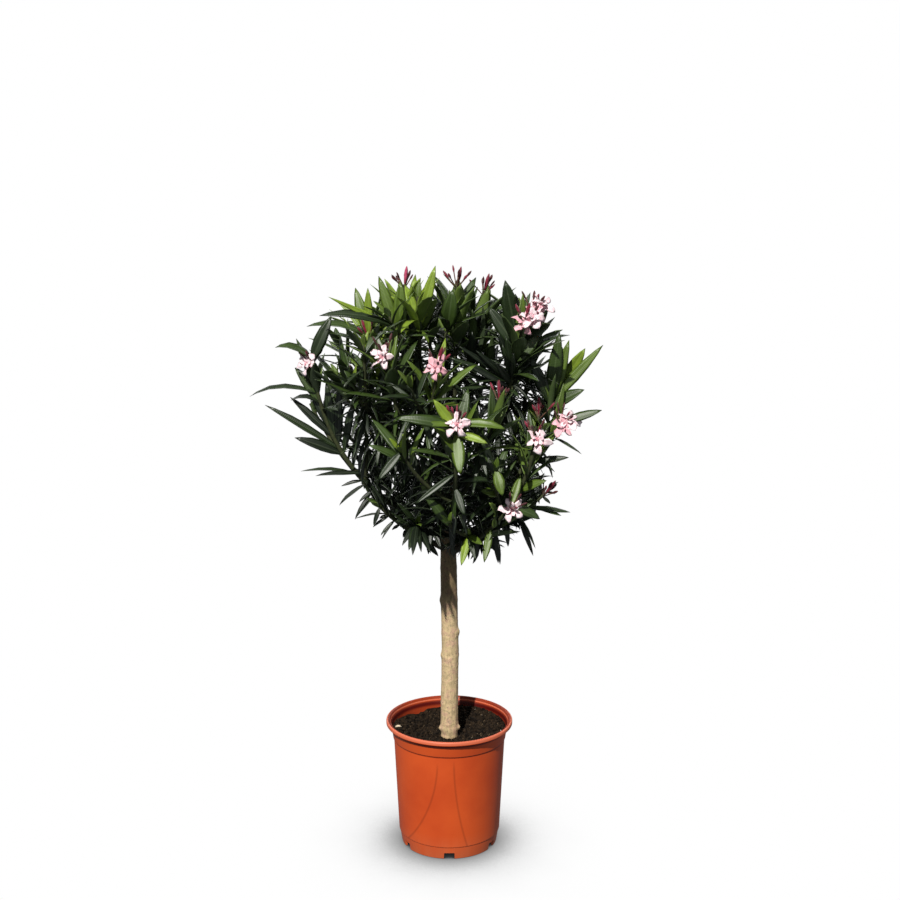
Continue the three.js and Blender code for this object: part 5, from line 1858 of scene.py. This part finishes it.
bud = template(turn_profile([(radius, level, 0) for radius, level in BUD_OUTLINE], BUD_SIDES))
all_buds = [b for c in clusters for b in c["buds"]]
bud_points = np.array([furled(bud, *b[:4]) for b in all_buds])
bud_slots = np.repeat(np.array([b[4] for b in all_buds])[:, None], len(bud["faces"]), axis=1)
buds = new_piece("buds", mesh=joined_mesh("buds", bud_points, bud["faces"], bud_slots))
print("buds", len(all_buds))

# %% [markdown]
# The petals and fringes are bent by the same arrays as the leaves. Stalks and flower tubes are thin
# cones from the cluster's foot, joined into one mesh.

# %% Petals, fringes and stalks
STALK_TUBE = {"sides": 6, "rings": 4, "knots": 0.05}

petals = [blade for c in clusters for blade in c["petals"]]
petal_points = stamp(petal, petal_outline, petals)
rosy = np.array([blade["rosy"] for blade in petals])[:, None]
petal_slots = np.where(rosy & (petal["slots"] == PALE), PINK, petal["slots"])
flowers = new_piece("petals", mesh=joined_mesh("petals", petal_points, petal["faces"], petal_slots))
fringes = [blade for c in clusters for blade in c["fringes"]]
fringe_points = stamp(petal, petal_outline, fringes)
fringe_slots = np.where(petal["slots"] == PALE, PINK, THROAT)
fringe = new_piece("fringes", mesh=joined_mesh("fringes", fringe_points, petal["faces"], fringe_slots))
stalk_tubes = []
for index, (foot, end, thin, thick) in enumerate(t for c in clusters for t in c["stalks"]):
    line = Line([foot, mix(foot, end, 0.5) + 0.1, end])
    stalk_tubes.append(tube(line, 0, 1, (thin, thick), *STALK_TUBE.values(), index))
stalks = tubes_piece("flower_stalks", stalk_tubes)
print("petal faces", len(flowers.data.polygons), "stalk faces", len(stalks.data.polygons))

# %% [markdown]
# Petals have a soft bloom rather than a gloss, which a small share of sheen gives. Buds are
# crimson, wine red or rose, and their stalks brownish red.

# %% Blossom materials
def petal_material(name, colour, deeper):
    material, shader, add, link = new_material(name)
    place = add("TexCoord").outputs["Object"]
    cloud = add("TexNoise", [("Vector", place)], Scale=160.0, Detail=3.0)
    link(ramp(add, cloud.outputs["Fac"], (0.35, deeper), (0.6, colour)), shader.inputs["Base Color"])
    shader.inputs["Roughness"].default_value = 0.55
    shader.inputs["Specular IOR Level"].default_value = 0.3
    shader.inputs["Sheen Weight"].default_value = 0.15
    link(bump(add, cloud.outputs["Fac"], 0.3, 0.0005), shader.inputs["Normal"])
    return material


throat = petal_material("petal_throat", (0.62, 0.12, 0.22), (0.48, 0.06, 0.14))
pink = petal_material("petal_pink", (0.80, 0.48, 0.52), (0.72, 0.34, 0.41))
pale = petal_material("petal_pale", (0.83, 0.71, 0.73), (0.74, 0.52, 0.58))
crimson = petal_material("bud_crimson", (0.19, 0.010, 0.03), (0.10, 0.006, 0.016))
wine = petal_material("bud_wine", (0.075, 0.012, 0.014), (0.035, 0.007, 0.008))
rose = petal_material("bud_rose", (0.46, 0.06, 0.14), (0.30, 0.03, 0.07))
stalk_red = petal_material("stalk_red", (0.10, 0.05, 0.02), (0.07, 0.02, 0.014))
finish_piece(flowers, [throat, pink, pale], "leaves")
finish_piece(fringe, [throat, pink], "leaves")
finish_piece(buds, [crimson, wine, rose], "leaves")
finish_piece(stalks, [stalk_red], "green_bark")
print("blossom done")

# %% [markdown]
# ## Sizes
# The imported part's box is printed.

# %% Print the part's box
print("cad", cad_box)
